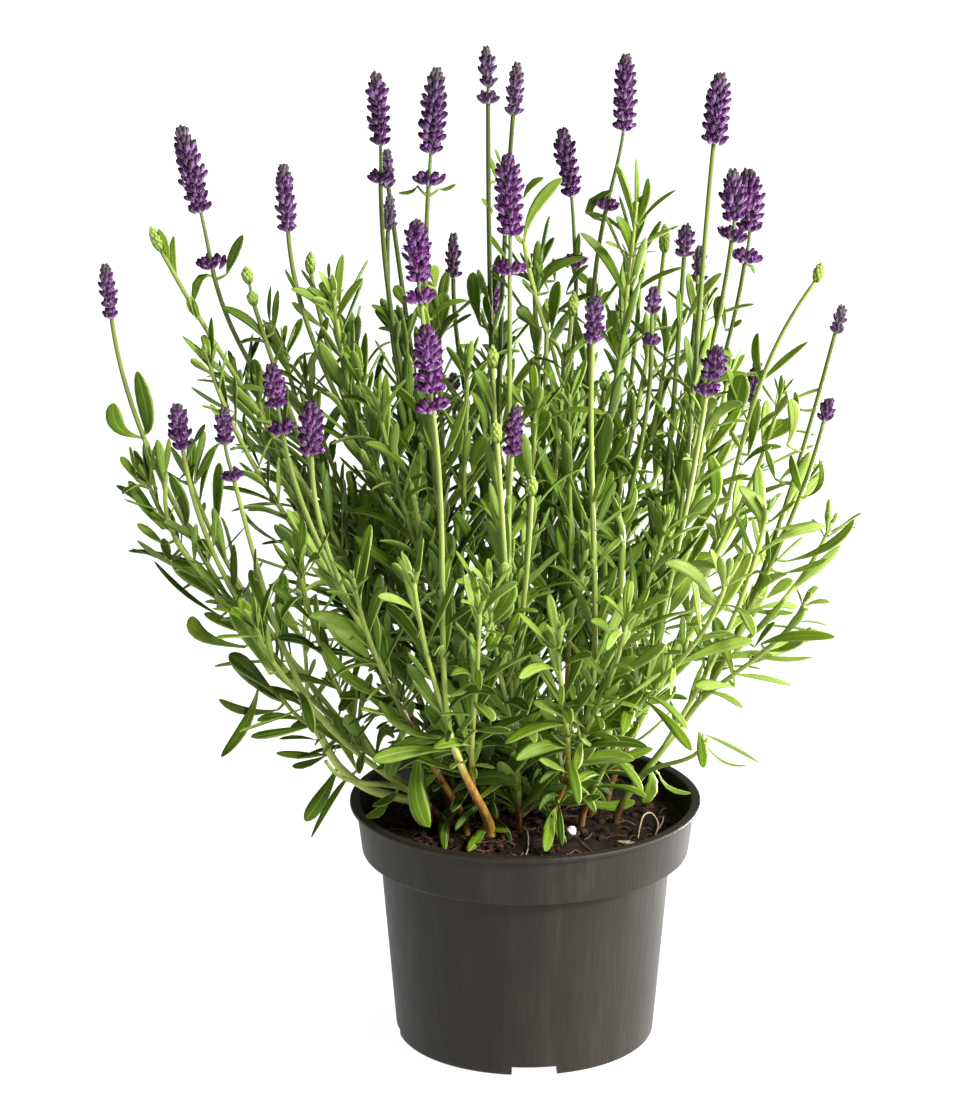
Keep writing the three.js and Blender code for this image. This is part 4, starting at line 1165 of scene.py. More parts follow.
    (((748, 613), (794, 613)), 2.5, 0.5),
    (((750, 655), (782, 659), (813, 657)), 3, 0.6),
    (((755, 647), (775, 622)), 3, 0.3),
    (((761, 644), (794, 636), (835, 637)), 5, 0.45),
    (((770, 651), (794, 644), (811, 627)), 4.5, 0.55),
    (((258, 689), (245, 725), (221, 757)), 5, 0.28),
    (((270, 674), (231, 607)), 8, 0.4),
    (((274, 692), (229, 654)), 8, 0.15),
    (((274, 672), (239, 598)), 7, 0.5),
    (((277, 710), (245, 711), (219, 699)), 4, 0.22),
    (((279, 671), (257, 634), (239, 596)), 6.5, 0.42),
    (((280, 660), (284, 573)), 6.5, 0.15),
    (((284, 664), (279, 584)), 6, 0.25),
    (((289, 705), (259, 684), (229, 655)), 6, 0.25),
    (((300, 718), (277, 716), (257, 721)), 3.5, 0.5),
    (((300, 707), (321, 689), (332, 661)), 2.5, 0.5),
    (((357, 689), (339, 711)), 5, 0.15),
    (((372, 665), (355, 642), (330, 627)), 8, 0.55),
    (((373, 666), (345, 645), (322, 614)), 5, 0.55),
    (((379, 709), (348, 725)), 1.5, 0.1),
    (((379, 711), (355, 741)), 1.5, 0.1),
    (((380, 696), (348, 677), (321, 641)), 5, 0.38),
    (((450, 696), (466, 689), (480, 680)), 5, 0.7),
    (((575, 713), (563, 707), (554, 705)), 2.5, 0.6),
    (((575, 701), (572, 692), (570, 680)), 4, 0.55),
    (((577, 707), (584, 698), (594, 692)), 2, 0.5),
    (((603, 675), (594, 657), (586, 642)), 3, 0.5),
    (((609, 707), (582, 673), (582, 629)), 7, 0.45),
    (((626, 715), (651, 690), (668, 644)), 9, 0.6),
    (((630, 675), (617, 650), (611, 621)), 7, 0.55),
    (((647, 703), (665, 698), (676, 686)), 5, 0.55),
    (((704, 668), (697, 649), (675, 641)), 3.5, 0.35),
    (((724, 661), (707, 642), (695, 625)), 4.5, 0.45),
    (((728, 664), (675, 657)), 2, 0.25),
    (((734, 686), (713, 685), (695, 686)), 5.5, 0.65),
    (((735, 686), (726, 648), (714, 617)), 6, 0.35),
    (((736, 673), (721, 644), (715, 617)), 6.5, 0.45),
    (((316, 740), (298, 737), (279, 739)), 2, 0.25),
    (((323, 755), (300, 755), (276, 753)), 3.5, 0.45),
    (((325, 756), (307, 764), (292, 766)), 3.5, 0.25),
    (((337, 767), (323, 795), (305, 821)), 7, 0.28),
    (((352, 777), (333, 798), (311, 838)), 3.5, 0.3),
    (((357, 770), (345, 743), (335, 714)), 6, 0.45),
    (((389, 721), (376, 729)), 2, 0.1),
    (((402, 729), (388, 777)), 6.5, 0.25),
    (((421, 741), (418, 779), (430, 828)), 8, 0.42),
    (((450, 737), (405, 729), (379, 700)), 5, 0.55),
    (((464, 726), (494, 703), (523, 657)), 8.5, 0.35),
    (((471, 770), (477, 753), (481, 738)), 2.5, 0.6),
    (((471, 761), (468, 749), (466, 740)), 2.5, 0.6),
    (((471, 766), (483, 765), (495, 768)), 2, 0.6),
    (((535, 749), (536, 776), (537, 805)), 7.5, 0.35),
    (((559, 772), (550, 743), (544, 711)), 8, 0.35),
    (((575, 726), (567, 719), (561, 713)), 2, 0.5),
    (((579, 736), (563, 732), (547, 734)), 2.5, 0.65),
    (((584, 763), (590, 742), (594, 713)), 9, 0.6),
    (((592, 772), (594, 765), (602, 757)), 2, 0.5),
    (((600, 751), (619, 738), (638, 722)), 8, 0.5),
    (((609, 753), (619, 763), (634, 768)), 4.5, 0.45),
    (((647, 765), (652, 784), (642, 803)), 7, 0.5),
    (((659, 774), (670, 789), (691, 793)), 2.5, 0.55),
    (((699, 732), (702, 749), (703, 768)), 5, 0.4),
    (((701, 738), (722, 761), (747, 765)), 1.5, 0.5),
    (((703, 734), (728, 745), (760, 763)), 2, 0.4),
    (((391, 798), (380, 811), (366, 817)), 5, 0.5),
    (((457, 812), (445, 827), (445, 850)), 3.5, 0.4),
    (((479, 830), (473, 841), (468, 851)), 3.5, 0.5),
    (((479, 797), (514, 766), (534, 730)), 9, 0.35),
    (((485, 831), (498, 830), (510, 831)), 3, 0.4),
    (((487, 830), (475, 839), (468, 851)), 4.5, 0.5),
    (((498, 818), (506, 830), (511, 841)), 2.5, 0.4),
    (((537, 801), (521, 810), (506, 807)), 6, 0.35),
    (((558, 810), (556, 828), (566, 843)), 4.5, 0.35),
    (((571, 792), (602, 806), (635, 801)), 5.5, 0.5),
    (((586, 787), (582, 778), (581, 770)), 1.5, 0.5),
    (((594, 791), (605, 787), (615, 784)), 3, 0.55),
)


# A seen twig or leaf grows from the stem that shows nearest to its foot. Of stems that show
# as near, a dark one takes that at FURTHEST_DEPTH, and a pale one that up to PALE_NEARER nearer.
FURTHEST_DEPTH = 50
PALE_NEARER = 180
DEPTH_COUNTS = 0.06
SIGHT_STEP = 2
TWIG_ROOM = 1.2
TWIG_ADVANCE = 3
TWIG_REACH = 4


def sighted(pixel, depth):
    """The place that the photograph shows at a pixel, at a depth along y."""
    across, down = pixel
    ray = (AHEAD + Vector((across - PHOTO_WIDTH / 2, 0, 0)) / FOCAL_PIXELS
           + OVERHEAD * (PHOTO_HEIGHT / 2 - down) / FOCAL_PIXELS)
    return CAMERA_PLACE + ray * (depth - CAMERA_PLACE.y) / ray.y


def shown_at(place):
    """The pixel that shows a place."""
    out = place - CAMERA_PLACE
    away = out.dot(AHEAD)
    return (PHOTO_WIDTH / 2 + FOCAL_PIXELS * out.x / away,
            PHOTO_HEIGHT / 2 - FOCAL_PIXELS * out.dot(OVERHEAD) / away)


def clear_sight(pixel, depth):
    """The place at a pixel, brought nearer until it is clear of the soil and the pot."""
    place = sighted(pixel, max(depth, NEAREST_DEPTH))
    while (not clear_of_pot(np.array([place]), np.array([TWIG_ROOM]), POT_CLEARANCE)
           and place.y > NEAREST_DEPTH):
        place = sighted(pixel, place.y - SIGHT_STEP)
    return place


def carrier_of(spots, pixels, pixel, pale):
    """The stem that shows nearest to a pixel, and its place there; pale ones stand in front."""
    depths = np.array([place.y for _, place in spots])
    apart = np.linalg.norm(pixels - np.array(pixel), axis=1)
    amiss = abs(depths - FURTHEST_DEPTH + PALE_NEARER * pale)
    return spots[int((apart + DEPTH_COUNTS * amiss).argmin())]


spots = []
for name, parts in grown.items():
    parts["twigs"] = []
    parts["leaves"] = []
    for line in (parts["trunk"], *(shoot["line"] for shoot in parts["shoots"])):
        spots += [(name, line[i]) for i in range(2, len(line) - 1)]
pixels = np.array([shown_at(place) for _, place in spots])
for run, width, pale in SEEN_TWIGS:
    name, carrier = carrier_of(spots, pixels, run[0], pale)
    places = [clear_sight(pixel, carrier.y - TWIG_ADVANCE * i) for i, pixel in enumerate(run)]
    if (places[0] - carrier).length > TWIG_REACH:
        places.insert(0, carrier)
    else:
        places[0] = carrier
    grown[name]["twigs"].append((smooth_line(places, 6 * len(places)), width, pale))
for name, parts in grown.items():
    for line, _, _ in parts["twigs"]:
        spots += [(name, place) for place in line[2:]]
pixels = np.array([shown_at(place) for _, place in spots])
for run, width, pale in SEEN_LEAVES:
    name, carrier = carrier_of(spots, pixels, run[0], pale)
    grown[name]["leaves"].append((carrier, run, width, pale))

# A blade's section: how far across each point is, and whether it is on the underside. Its
# stations are shares of its length.
LEAF_SECTION = ((-1, 0.0), (-0.55, 0.0), (0, 0.0), (0.55, 0.0), (1, 0.0), (0.5, 1.0), (0, 1.0),
                (-0.5, 1.0))
GROOVE = 0.16
ROLLED_EDGE = 0.30
ROLLED_FROM = 0.55
KEEL_THICKNESS = 0.7
BLADE_THICKNESS = 0.4
LONG_STATIONS = (0, 0.07, 0.18, 0.32, 0.46, 0.6, 0.73, 0.85, 0.94, 0.985)
SHORT_STATIONS = (0, 0.16, 0.4, 0.66, 0.88, 0.97)
LONG_LEAF = 22
LONG_SEEN_LEAF = 18


def leaf_width(t, widest):
    """The share of its full width that a blade has at t along it, widest at the given place."""
    if t < widest:
        share = t / widest
        return 0.2 + 0.8 * (share * share * (3 - 2 * share)) ** (widest * 2 - 0.5)
    return max(0.0, 1 - ((t - widest) / (1 - widest)) ** 2.5) ** 0.6


def blade(surface, spine, facing, width, twist, fold, widest, **values):
    """One leaf about its spine: a closed blade, grooved, with rolled edges and a keel."""
    stations = LONG_STATIONS if len(spine) == len(LONG_STATIONS) + 1 else SHORT_STATIONS
    rings = []
    for i, t in enumerate(stations):
        here = spine[i]
        way = (spine[i + 1] - spine[max(i - 1, 0)]).normalized()
        face = (facing - way * facing.dot(way)).normalized()
        face.rotate(Quaternion(way, twist * t))
        across = way.cross(face)
        half = width / 2 * leaf_width(t, widest)
        ring = []
        for c, under in LEAF_SECTION:
            height = half * (fold * abs(c) + GROOVE * (1 - (2 * abs(c) - 1) ** 2)
                             - ROLLED_EDGE * max(0, abs(c) - ROLLED_FROM))
            if under:
                height -= min(BLADE_THICKNESS if c else KEEL_THICKNESS, half * 0.5)
            ring.append(surface.add(here + across * c * half + face * height,
                                    along=t, across=c, under=under, **values))
        rings.append(ring)
    surface.bridge(rings)
    surface.fan(rings[-1], surface.add(spine[-1], along=1.0, **values))


def spine_from(root, heading, length, lift):
    """The stations of a leaf that sets out one way and curves up, or down for a lift below 0."""
    stations = LONG_STATIONS if length > LONG_LEAF else SHORT_STATIONS
    spine = [root]
    before = 0.0
    for t in (*stations[1:], 1.0):
        way = (heading + UP * lift * (t + before) / 2).normalized()
        spine.append(spine[-1] + way * (t - before) * length)
        before = t
    return spine


def stalk(surface, line, foot_radius, top_radius, sides=8, bark=None, **values):
    """A square-edged stalk along points."""
    rings = []
    side = Vector((1, 0, 0))
    for i, here in enumerate(line):
        way = (line[min(i + 1, len(line) - 1)] - line[max(i - 1, 0)]).normalized()
        side = (side - way * side.dot(way)).normalized()
        across = way.cross(side)
        radius = foot_radius + (top_radius - foot_radius) * i / (len(line) - 1)
        wood = bark(here) if bark else 0.0
        ring = []
        for j in range(sides):
            turn = j * tau / sides
            ridged = radius * (1 + (0.09 if j % 2 == 0 else -0.04) * (1 - wood))
            ring.append(surface.add(here + side * ridged * cos(turn) + across * ridged * sin(turn),
                                    stem=1.0, wood=wood, ridge=float(j % 2 == 0), **values))
        rings.append(ring)
    surface.close(rings, line[0], line[-1], stem=1.0, **values)


def lengths_of(line):
    """How far along the line each of its points is."""
    run = [0.0]
    for a, b in zip(line, line[1:]):
        run.append(run[-1] + (b - a).length)
    return run


def at_length(line, run, distance):
    """The place at a distance along the line, and the way the line runs there."""
    i = int(np.searchsorted(run, distance)) - 1
    i = max(0, min(i, len(line) - 2))
    share = (distance - run[i]) / max(1e-6, run[i + 1] - run[i])
    return line[i].lerp(line[i + 1], share), (line[i + 1] - line[i]).normalized()


def side_at(way, turn):
    """The way out of a line at a turn about it."""
    if abs(way.z) < 0.5:
        side = UP - way * way.z
        side.normalize()
        return (side * cos(turn) + way.cross(side) * sin(turn)).normalized()
    flat = Vector((cos(turn), sin(turn), 0))
    return (flat - way * flat.dot(way)).normalized()


def opening_leaf(way, side, angle):
    """Where a leaf heads that opens from its stem by an angle, and where its top faces."""
    return way * cos(angle) + side * sin(angle), way * sin(angle) - side * cos(angle)


# The ways that a leaf is tried in: how much further it opens, and how far it turns aside.
BENDS = ((0, 0), (0.25, 0), (-0.25, 0), (0, 0.4), (0, -0.4), (0.3, 0.5), (0.3, -0.5), (-0.2, 0.8),
         (-0.2, -0.8))
LONGEST_STRAY = 24
STRAY_OPENING = 0.35
RIM_WIDTH = 22
RIM_ROOM = 16
BOX_MARGIN = 1.5
low_corner, high_corner = (np.array(corner) / MM for corner in solid_box)


def past_box(centres):
    """Past the solids' own box, or close to its side."""
    return bool((centres < low_corner + BOX_MARGIN).any()
                or (centres > high_corner - BOX_MARGIN).any())


def over_rim(centres):
    """Low over the pot's rim or beside it, where hardly a leaf grows."""
    outward = np.hypot(centres[:, 0], centres[:, 1])
    low = centres[:, 2] < POT_HEIGHT + RIM_ROOM
    return bool(((outward > RIM_RADIUS - RIM_WIDTH) & low).any())


def clear_tip(tip):
    """Clear of the pot and not low over its rim."""
    spot = np.array([tip])
    return clear_of_pot(spot, np.array([1.0]), POT_CLEARANCE) and not over_rim(spot)


def grow_leaf(surface, owner, chosen, place, way, turn, length, width, opening, lift, twist,
              fold, tone):
    """A leaf bent clear of the other stems, the spikes and the pot, if it can be."""
    for more, aside in BENDS:
        side = side_at(way, turn + aside)
        heading, facing = opening_leaf(way, side, opening + more)
        points = []
        here = place
        for t in (0.25, 0.5, 0.75, 1.0):
            here = here + (heading + UP * lift * (t - 0.12)).normalized() * length * 0.25
            points.append(here)
        centres = np.array(points)
        radii = np.full(len(points), width * 0.25)
        if past_box(centres) or over_rim(centres):
            continue
        if not clear_of_pot(centres, radii, POT_CLEARANCE):
            continue
        if room.clear(centres, radii, [owner], 0.3):
            break
    else:
        side = side_at(way, turn)
        heading, facing = opening_leaf(way, side, STRAY_OPENING)
        if length > LONGEST_STRAY or not clear_tip(place + heading * length):
            return
    blade(surface, spine_from(place - side * 0.4, heading, length, lift), facing, width, twist,
          fold, chosen.uniform(0.52, 0.76), tone=tone, shade=chosen.random())


# A tuft: how many leaves it may have, then, as ranges, how far they stand aside and open,
# their length as a share of the tuft's size, how they curve and their width for that length.
TUFT_COUNTS = (2, 2, 3, 4)
TUFT_SPREADS = (-0.9, 0.9)
TUFT_OPENINGS = (0.25, 0.85)
TUFT_LENGTHS = (0.5, 1.1)
TUFT_LIFTS = (-0.4, 0.5)
TUFT_WIDTHS = (0.18, 0.26)
TUFT_FOLD = 0.3
TUFT_WIDEST = 0.6
TUFT_PALER = 0.12


def tuft(surface, chosen, place, way, turn, size, tone):
    """Young leaves in the crook of a leaf."""
    for i in range(chosen.choice(TUFT_COUNTS)):
        side = side_at(way, turn + chosen.uniform(*TUFT_SPREADS))
        heading, facing = opening_leaf(way, side, chosen.uniform(*TUFT_OPENINGS))
        length = size * chosen.uniform(*TUFT_LENGTHS)
        if clear_tip(place + heading * length):
            spine = spine_from(place, heading, length, chosen.uniform(*TUFT_LIFTS))
            blade(surface, spine, facing, length * chosen.uniform(*TUFT_WIDTHS), 0, TUFT_FOLD,
                  TUFT_WIDEST, tone=tone + TUFT_PALER, shade=chosen.random())


# How leaves follow each other: the gap between pairs and how much it widens, the length of the
# first leaves and of the last, and the share of leaves with a tuft.
TRUNK_LEAVES = (9.5, 0.2, 36, 38, 0.26)
SHOOT_LEAVES = (10.5, 0.0, 39, 29, 0.22)
STALK_LEAVES = (11.5, 0.9, 39, 25, 0.22)
TWIG_LEAVES = (13, 0, 16, 12, 0.2)
# How the leaves of a run differ, as ranges: their length as a share of the usual one, their
# width as a share of length, how far they stand aside and open, how they curve, twist and
# fold, and how much paler they are than their shoot.
LEAF_LENGTHS = (0.55, 1.25)
LEAF_WIDTHS = (0.105, 0.185)
LEAF_SPREADS = (-0.35, 0.35)
LEAF_OPENINGS = (0.4, 1.0)
LEAF_LIFTS = (-1.6, 0.8)
LEAF_TWISTS = (-0.8, 0.8)
LEAF_FOLDS = (0.1, 0.4)
LEAF_TONES = (-0.24, 0.18)
LOW_LEAF_Z = 112
LOW_LEAF_RANGE = 90
PALEST_LEAF = 0.59
# Painted light: leaves further right than a set place are paler, by so much for each millimetre
# past it.
PAINTED_LIGHT_FROM = 72
RIGHT_PAINTED_LIGHT = 0.0032


def leaf_run(surface, owner, chosen, line, start, finish, manner, tone, shed):
    """Leaf pairs along a line, from one distance to another; a share of them has been shed."""
    gap, widening, size, young, tufts = manner
    run = lengths_of(line)
    distance = start
    turn = chosen.uniform(0, pi)
    while distance < finish:
        share = (distance - start) / max(1, finish - start)
        place, way = at_length(line, run, distance)
        for half in (0, 1):
            if chosen.random() < shed:
                continue
            length = (size + (young - size) * share) * chosen.uniform(*LEAF_LENGTHS)
            low = max(0.0, 1 - (place.z - LOW_LEAF_Z) / LOW_LEAF_RANGE)
            # The leaf's tone is painted paler towards the right: painted light.
            grow_leaf(
                surface, owner, chosen, place, way,
                turn + half * pi + chosen.uniform(*LEAF_SPREADS),
                length, length * chosen.uniform(*LEAF_WIDTHS) * (1 + 0.15 * low) + 0.4,
                chosen.uniform(*LEAF_OPENINGS) + 0.2 * low - 0.15 * share,
                chosen.uniform(*LEAF_LIFTS) * (0.7 + 0.3 * low) + 0.1,
                chosen.uniform(*LEAF_TWISTS), chosen.uniform(*LEAF_FOLDS),
                min(PALEST_LEAF, tone + chosen.uniform(*LEAF_TONES) + 0.1 * share - 0.05 * low)
                + RIGHT_PAINTED_LIGHT * max(0.0, place.x - PAINTED_LIGHT_FROM))
            if chosen.random() < tufts:
                tuft(surface, chosen, place, way, turn + half * pi, 6 + 9 * (1 - share), tone)
        turn += pi / 2 + chosen.uniform(-0.15, 0.15)
        distance += gap * (1 + widening * share) * chosen.uniform(0.85, 1.15)


# The pairs of a crown, from the lowest: how long they are and how far they open.
CROWN_PAIRS = ((29, 0.7), (23, 0.5), (16, 0.32), (9, 0.16))
CROWN_DEPTH = 9
CROWN_GAP = 2.4
CROWN_SPREADS = (-0.2, 0.2)
CROWN_OPENINGS = (0.55, 1.5)
CROWN_LENGTHS = (0.65, 1.2)
CROWN_LIFTS = (-1.0, 0.3)
CROWN_WIDTHS = (0.12, 0.17)
CROWN_FOLD = 0.3
CROWN_WIDEST = 0.66
LOW_CROWN_Z = 190


def crown(surface, chosen, line, scale, tone):
    """The growing end of a leafy shoot: pairs of young leaves, smaller towards the middle."""
    place = line[-1]
    way = (line[-1] - line[-2]).normalized()
    turn = chosen.uniform(0, pi)
    size = scale * (0.5 if place.z < LOW_CROWN_Z else 1.0)
    for i, (length, angle) in enumerate(CROWN_PAIRS):
        for half in (0, 1):
            side = side_at(way, turn + half * pi + chosen.uniform(*CROWN_SPREADS))
            heading, facing = opening_leaf(way, side, angle * chosen.uniform(*CROWN_OPENINGS))
            long = length * size * chosen.uniform(*CROWN_LENGTHS)
            if past_box(np.array([place + heading * long])):
                continue
            spine = spine_from(place - way * (CROWN_DEPTH - CROWN_GAP * i), heading, long,
                               chosen.uniform(*CROWN_LIFTS))
            blade(surface, spine, facing, long * chosen.uniform(*CROWN_WIDTHS) + 1.0,
                  chosen.uniform(*LEAF_TWISTS), CROWN_FOLD, CROWN_WIDEST,
                  tone=tone + 0.02 + 0.05 * i, shade=chosen.random())
        turn += pi / 2


# A calyx's outline: how far along it is, and its share of the full radius there.
CALYX_OUTLINE = ((0, 0.42), (0.2, 0.74), (0.45, 0.96), (0.64, 1.0), (0.82, 0.82), (0.94, 0.46))


def calyx(surface, foot, way, length, radius, sides, **values):
    """One barrel-shaped calyx or bud scale."""
    side = Vector((way.z, way.x, -way.y))
    side = (side - way * side.dot(way)).normalized()
    across = way.cross(side)
    rings = []
    for t, share in CALYX_OUTLINE:
        ring = []
        for j in range(sides):
            turn = j * tau / sides
            out = (side * cos(turn) + across * sin(turn)) * radius * share
            rib = float(j % 2 == 0 and sides > 6)
            corner = foot + way * length * t + out * (1 + 0.1 * rib)
            ring.append(surface.add(corner, along=t, rib=rib, **values))
        rings.append(ring)
    surface.bridge(rings)
    surface.fan(rings[-1], surface.add(foot + way * length, along=1.0, **values))


# A seen leaf: the tone of a dark one and how much more a pale one has (its own tone with
# painted light and shade in it), how far it may be from its stem without a twig, and, as ranges,
# how far its tip comes nearer, how it arches, how far it faces up and aside, and how it twists.
SEEN_TONE = 0.14
SEEN_TONE_RANGE = 0.76
SEEN_REACH = 2
LINK_SAG = 0.08
LINK_FOOT_RADIUS = 0.85
LINK_TOP_RADIUS = 0.55
SEEN_ADVANCES = (-0.1, 0.4)
SEEN_ARCHES = (-0.04, 0.07)
SEEN_TILTS = (0.2, 0.7)
SEEN_TURNS = (-0.45, 0.45)
SEEN_TWISTS = (-0.5, 0.5)
SEEN_FOLDS = (0.1, 0.35)
SEEN_WIDTH = 1.08
BROAD_LEAF = 5


def seen_leaf(surface, chosen, carrier, run, width, pale):
    """A leaf as the photograph shows it, on a short twig where its stem passes further off."""
    foot = clear_sight(run[0], carrier.y)
    apart = (foot - carrier).length
    # Painted light and shade: the leaf's tone follows how pale it shows where it grows.
    tone = SEEN_TONE + SEEN_TONE_RANGE * pale
    if apart > SEEN_REACH:
        middle = carrier.lerp(foot, 0.5) - UP * apart * LINK_SAG
        stalk(surface, smooth_line([carrier, middle, foot], 4), LINK_FOOT_RADIUS,
              LINK_TOP_RADIUS, 5, tone=tone + 0.1, shade=0.5)
    else:
        foot = carrier
    nearer = (sighted(run[-1], foot.y) - foot).length * chosen.uniform(*SEEN_ADVANCES)
    tip = clear_sight(run[-1], foot.y - nearer)
    if len(run) > 2:
        through = clear_sight(run[1], foot.y - nearer * 0.6)
    else:
        through = foot.lerp(tip, 0.5) + UP * (tip - foot).length * chosen.uniform(*SEEN_ARCHES)
    handle = through * 2 - (foot + tip) / 2
    stations = LONG_STATIONS if (tip - foot).length > LONG_SEEN_LEAF else SHORT_STATIONS
    spine = [foot * (1 - t) ** 2 + handle * 2 * t * (1 - t) + tip * t * t
             for t in (*stations, 1.0)]
    view = (CAMERA_PLACE - foot).normalized()
    facing = (view * 0.8 + UP * chosen.uniform(*SEEN_TILTS)
              + Vector((chosen.uniform(*SEEN_TURNS), 0, 0))).normalized()
    blade(surface, spine, facing, width * SEEN_WIDTH, chosen.uniform(*SEEN_TWISTS),
          chosen.uniform(*SEEN_FOLDS), 0.7 if width > BROAD_LEAF else 0.58, tone=tone,
          shade=chosen.random())


LONGEST_BUD = 15
BUD_GAP = (0.42, 0.56)
FEWEST_TIERS = 5
TIER_GAP = 1.7
SCALES = 6
SCALE_LENGTH = 4.2
SCALE_LENGTHS = (0.85, 1.1)
SCALE_TURNS = (-0.15, 0.15)
SCALE_REACH = 1.25
SCALE_RADIUS = 1.05


def green_bud(surface, chosen, path, tone):
    """A closed flower head: tiers of tight green scales; a long one is two, with a gap."""
    foot, tip = path
    if (tip - foot).length > LONGEST_BUD:
        gap_foot, gap_end = (foot.lerp(tip, share) for share in BUD_GAP)
        stalk(surface, [gap_foot - (tip - foot) * 0.1, gap_end], 0.8, 0.7, 6, tone=tone, shade=0.4)
        green_bud(surface, chosen, (foot, gap_foot), tone)
        green_bud(surface, chosen, (gap_end, tip), tone)
        return
    way = (tip - foot).normalized()
    long = (tip - foot).length
    tiers = max(FEWEST_TIERS, int(long / TIER_GAP))
    for i in range(tiers):
        u = i / (tiers - 1)
        swell = sin(pi * (0.22 + 0.7 * u)) ** 0.8
        for j in range(SCALES):
            turn = (j + 0.5 * (i % 2)) * tau / SCALES + chosen.uniform(*SCALE_TURNS)
            side = side_at(way, turn)
            leaning = (way + side * (0.34 - 0.3 * u)).normalized()
            root = foot + way * (u * (long - SCALE_LENGTH) - 0.6) + side * SCALE_REACH * swell
            calyx(surface, root, leaning, SCALE_LENGTH * chosen.uniform(*SCALE_LENGTHS),
                  SCALE_RADIUS * swell + 0.15, 5, tone=tone, bud=1.0, shade=chosen.random())


# The short shoots at a stem's foot: where they part from it, how steep and how long they are,
# and what their leaves may be, as ranges.
LOW_SHOOTS = 3
LOW_SHOOT_PLACES = (5, 34)
LOW_SHOOT_RISES = (0.3, 1.1)
LOW_SHOOT_LENGTHS = (8, 20)
LOW_LEAF_COUNTS = (4, 5, 6)
LOW_LEAF_TURN = 2.4
LOW_LEAF_LENGTHS = (17, 33)
LOW_LEAF_WIDTHS = (0.12, 0.18)
LOW_LEAF_OPENINGS = (0.25, 1.0)
LOW_LEAF_LIFTS = (-1.5, 0.3)
LOW_LEAF_TWISTS = (-0.5, 0.5)
LOW_LEAF_TONES = (-0.12, 0.12)


def low_shoots(surface, owner, chosen, trunk, tone):
    """Short side shoots at a stem's foot, with broad leaves that hang out over the soil."""
    run = lengths_of(trunk)
    for i in range(LOW_SHOOTS):
        place, way = at_length(trunk, run, chosen.uniform(*LOW_SHOOT_PLACES))
        turn = chosen.uniform(0, tau)
        side = side_at(way, turn)
        heading = (side + UP * chosen.uniform(*LOW_SHOOT_RISES)).normalized()
        long = chosen.uniform(*LOW_SHOOT_LENGTHS)
        line = [place + heading * long * j / 4 + UP * 0.12 * j * j for j in range(5)]
        centres, radii = balls_along(line[1:], lambda t: 0.8)
        if not clear_of_pot(centres, radii, 0.5):
            continue
        stalk(surface, line, 0.9, 0.6, 5, tone=tone + 0.15, shade=0.5)
        for j in range(chosen.choice(LOW_LEAF_COUNTS)):
            spot = line[min(4, 2 + j // 2)]
            length = chosen.uniform(*LOW_LEAF_LENGTHS)
            grow_leaf(surface, owner, chosen, spot, heading, turn + j * LOW_LEAF_TURN, length,
                      length * chosen.uniform(*LOW_LEAF_WIDTHS),
                      chosen.uniform(*LOW_LEAF_OPENINGS), chosen.uniform(*LOW_LEAF_LIFTS),
                      chosen.uniform(*LOW_LEAF_TWISTS), chosen.uniform(*LEAF_FOLDS),
                      tone + chosen.uniform(*LOW_LEAF_TONES))


LEAF_VALUES = ("along", "across", "under", "tone", "shade", "wood", "ridge", "stem", "bud")
foliage = Finish("lavender_leaf", Specular_IOR_Level=0.14)
along, across, under, tone, shade, wood, ridge, on_stem, on_bud = (
    foliage.value_at(word) for word in LEAF_VALUES)
mottle = foliage.cloud(160, 4, 0.6)
down = foliage.cloud(2400, 3, 0.6)
streaky = foliage.cloud(1, 4, 0.6, foliage.stretched(500, 500, 60))
# The tone at each point is a leaf's or stalk's own tone with painted light and shade from where it
# grows.
leaf_green = foliage.ramp(
    tone * 0.86 + mottle * 0.14,
    (0.10, (0.011, 0.027, 0.001)), (0.30, (0.039, 0.083, 0.002)), (0.50, (0.118, 0.202, 0.009)),
    (0.70, (0.300, 0.415, 0.080)), (0.95, (0.570, 0.650, 0.300)))
# Pale leaf margins: partly the rolled margin's own paler colour, partly a painted highlight.
margin_and_highlight = across.size().ramped(0.7, 1.0)
vein = 1 - across.size().ramped(0.0, 0.16)
leaf_green = foliage.blend(margin_and_highlight * 0.4, leaf_green, (0.54, 0.64, 0.24))
leaf_green = foliage.blend(vein * 0.3, leaf_green, (0.36, 0.48, 0.10))
leaf_green = foliage.blend((1 - along.ramped(0.0, 0.25)) * 0.5, leaf_green, (0.36, 0.48, 0.08))
leaf_green = foliage.blend(under * 0.4, leaf_green, (0.24, 0.35, 0.08))
stem_green = foliage.ramp(tone * 0.8 + streaky * 0.2, (0.15, (0.046, 0.072, 0.014)),
                          (0.45, (0.150, 0.205, 0.032)), (0.72, (0.36, 0.44, 0.100)),
                          (0.92, (0.56, 0.61, 0.16)))
stem_green = foliage.blend(ridge * (0.06 + tone * 0.4), stem_green, (0.44, 0.52, 0.16))
young_bark = foliage.ramp(streaky, (0.3, (0.26, 0.11, 0.020)), (0.5, (0.50, 0.25, 0.050)),
                          (0.7, (0.66, 0.42, 0.11)))
old_bark = foliage.ramp(streaky, (0.3, (0.020, 0.010, 0.005)), (0.5, (0.062, 0.030, 0.014)),
                        (0.7, (0.17, 0.075, 0.030)))
bark = foliage.blend(shade, old_bark, young_bark)
stem_colour = foliage.blend(wood, stem_green, bark)
bud_green = foliage.ramp(along * 0.7 + mottle * 0.3, (0.1, (0.060, 0.110, 0.012)),
                         (0.5, (0.20, 0.31, 0.04)), (0.95, (0.42, 0.52, 0.14)))
foliage.shade(
    Base_Color=foliage.blend(on_bud, foliage.blend(on_stem, leaf_green, stem_colour), bud_green),
    Roughness=0.3 + down * 0.16 + under * 0.2,
)
foliage.relief(down * 0.2 + streaky * wood * 1.2 + mottle * 0.6 - vein * 0.8, 0.3, 0.6)

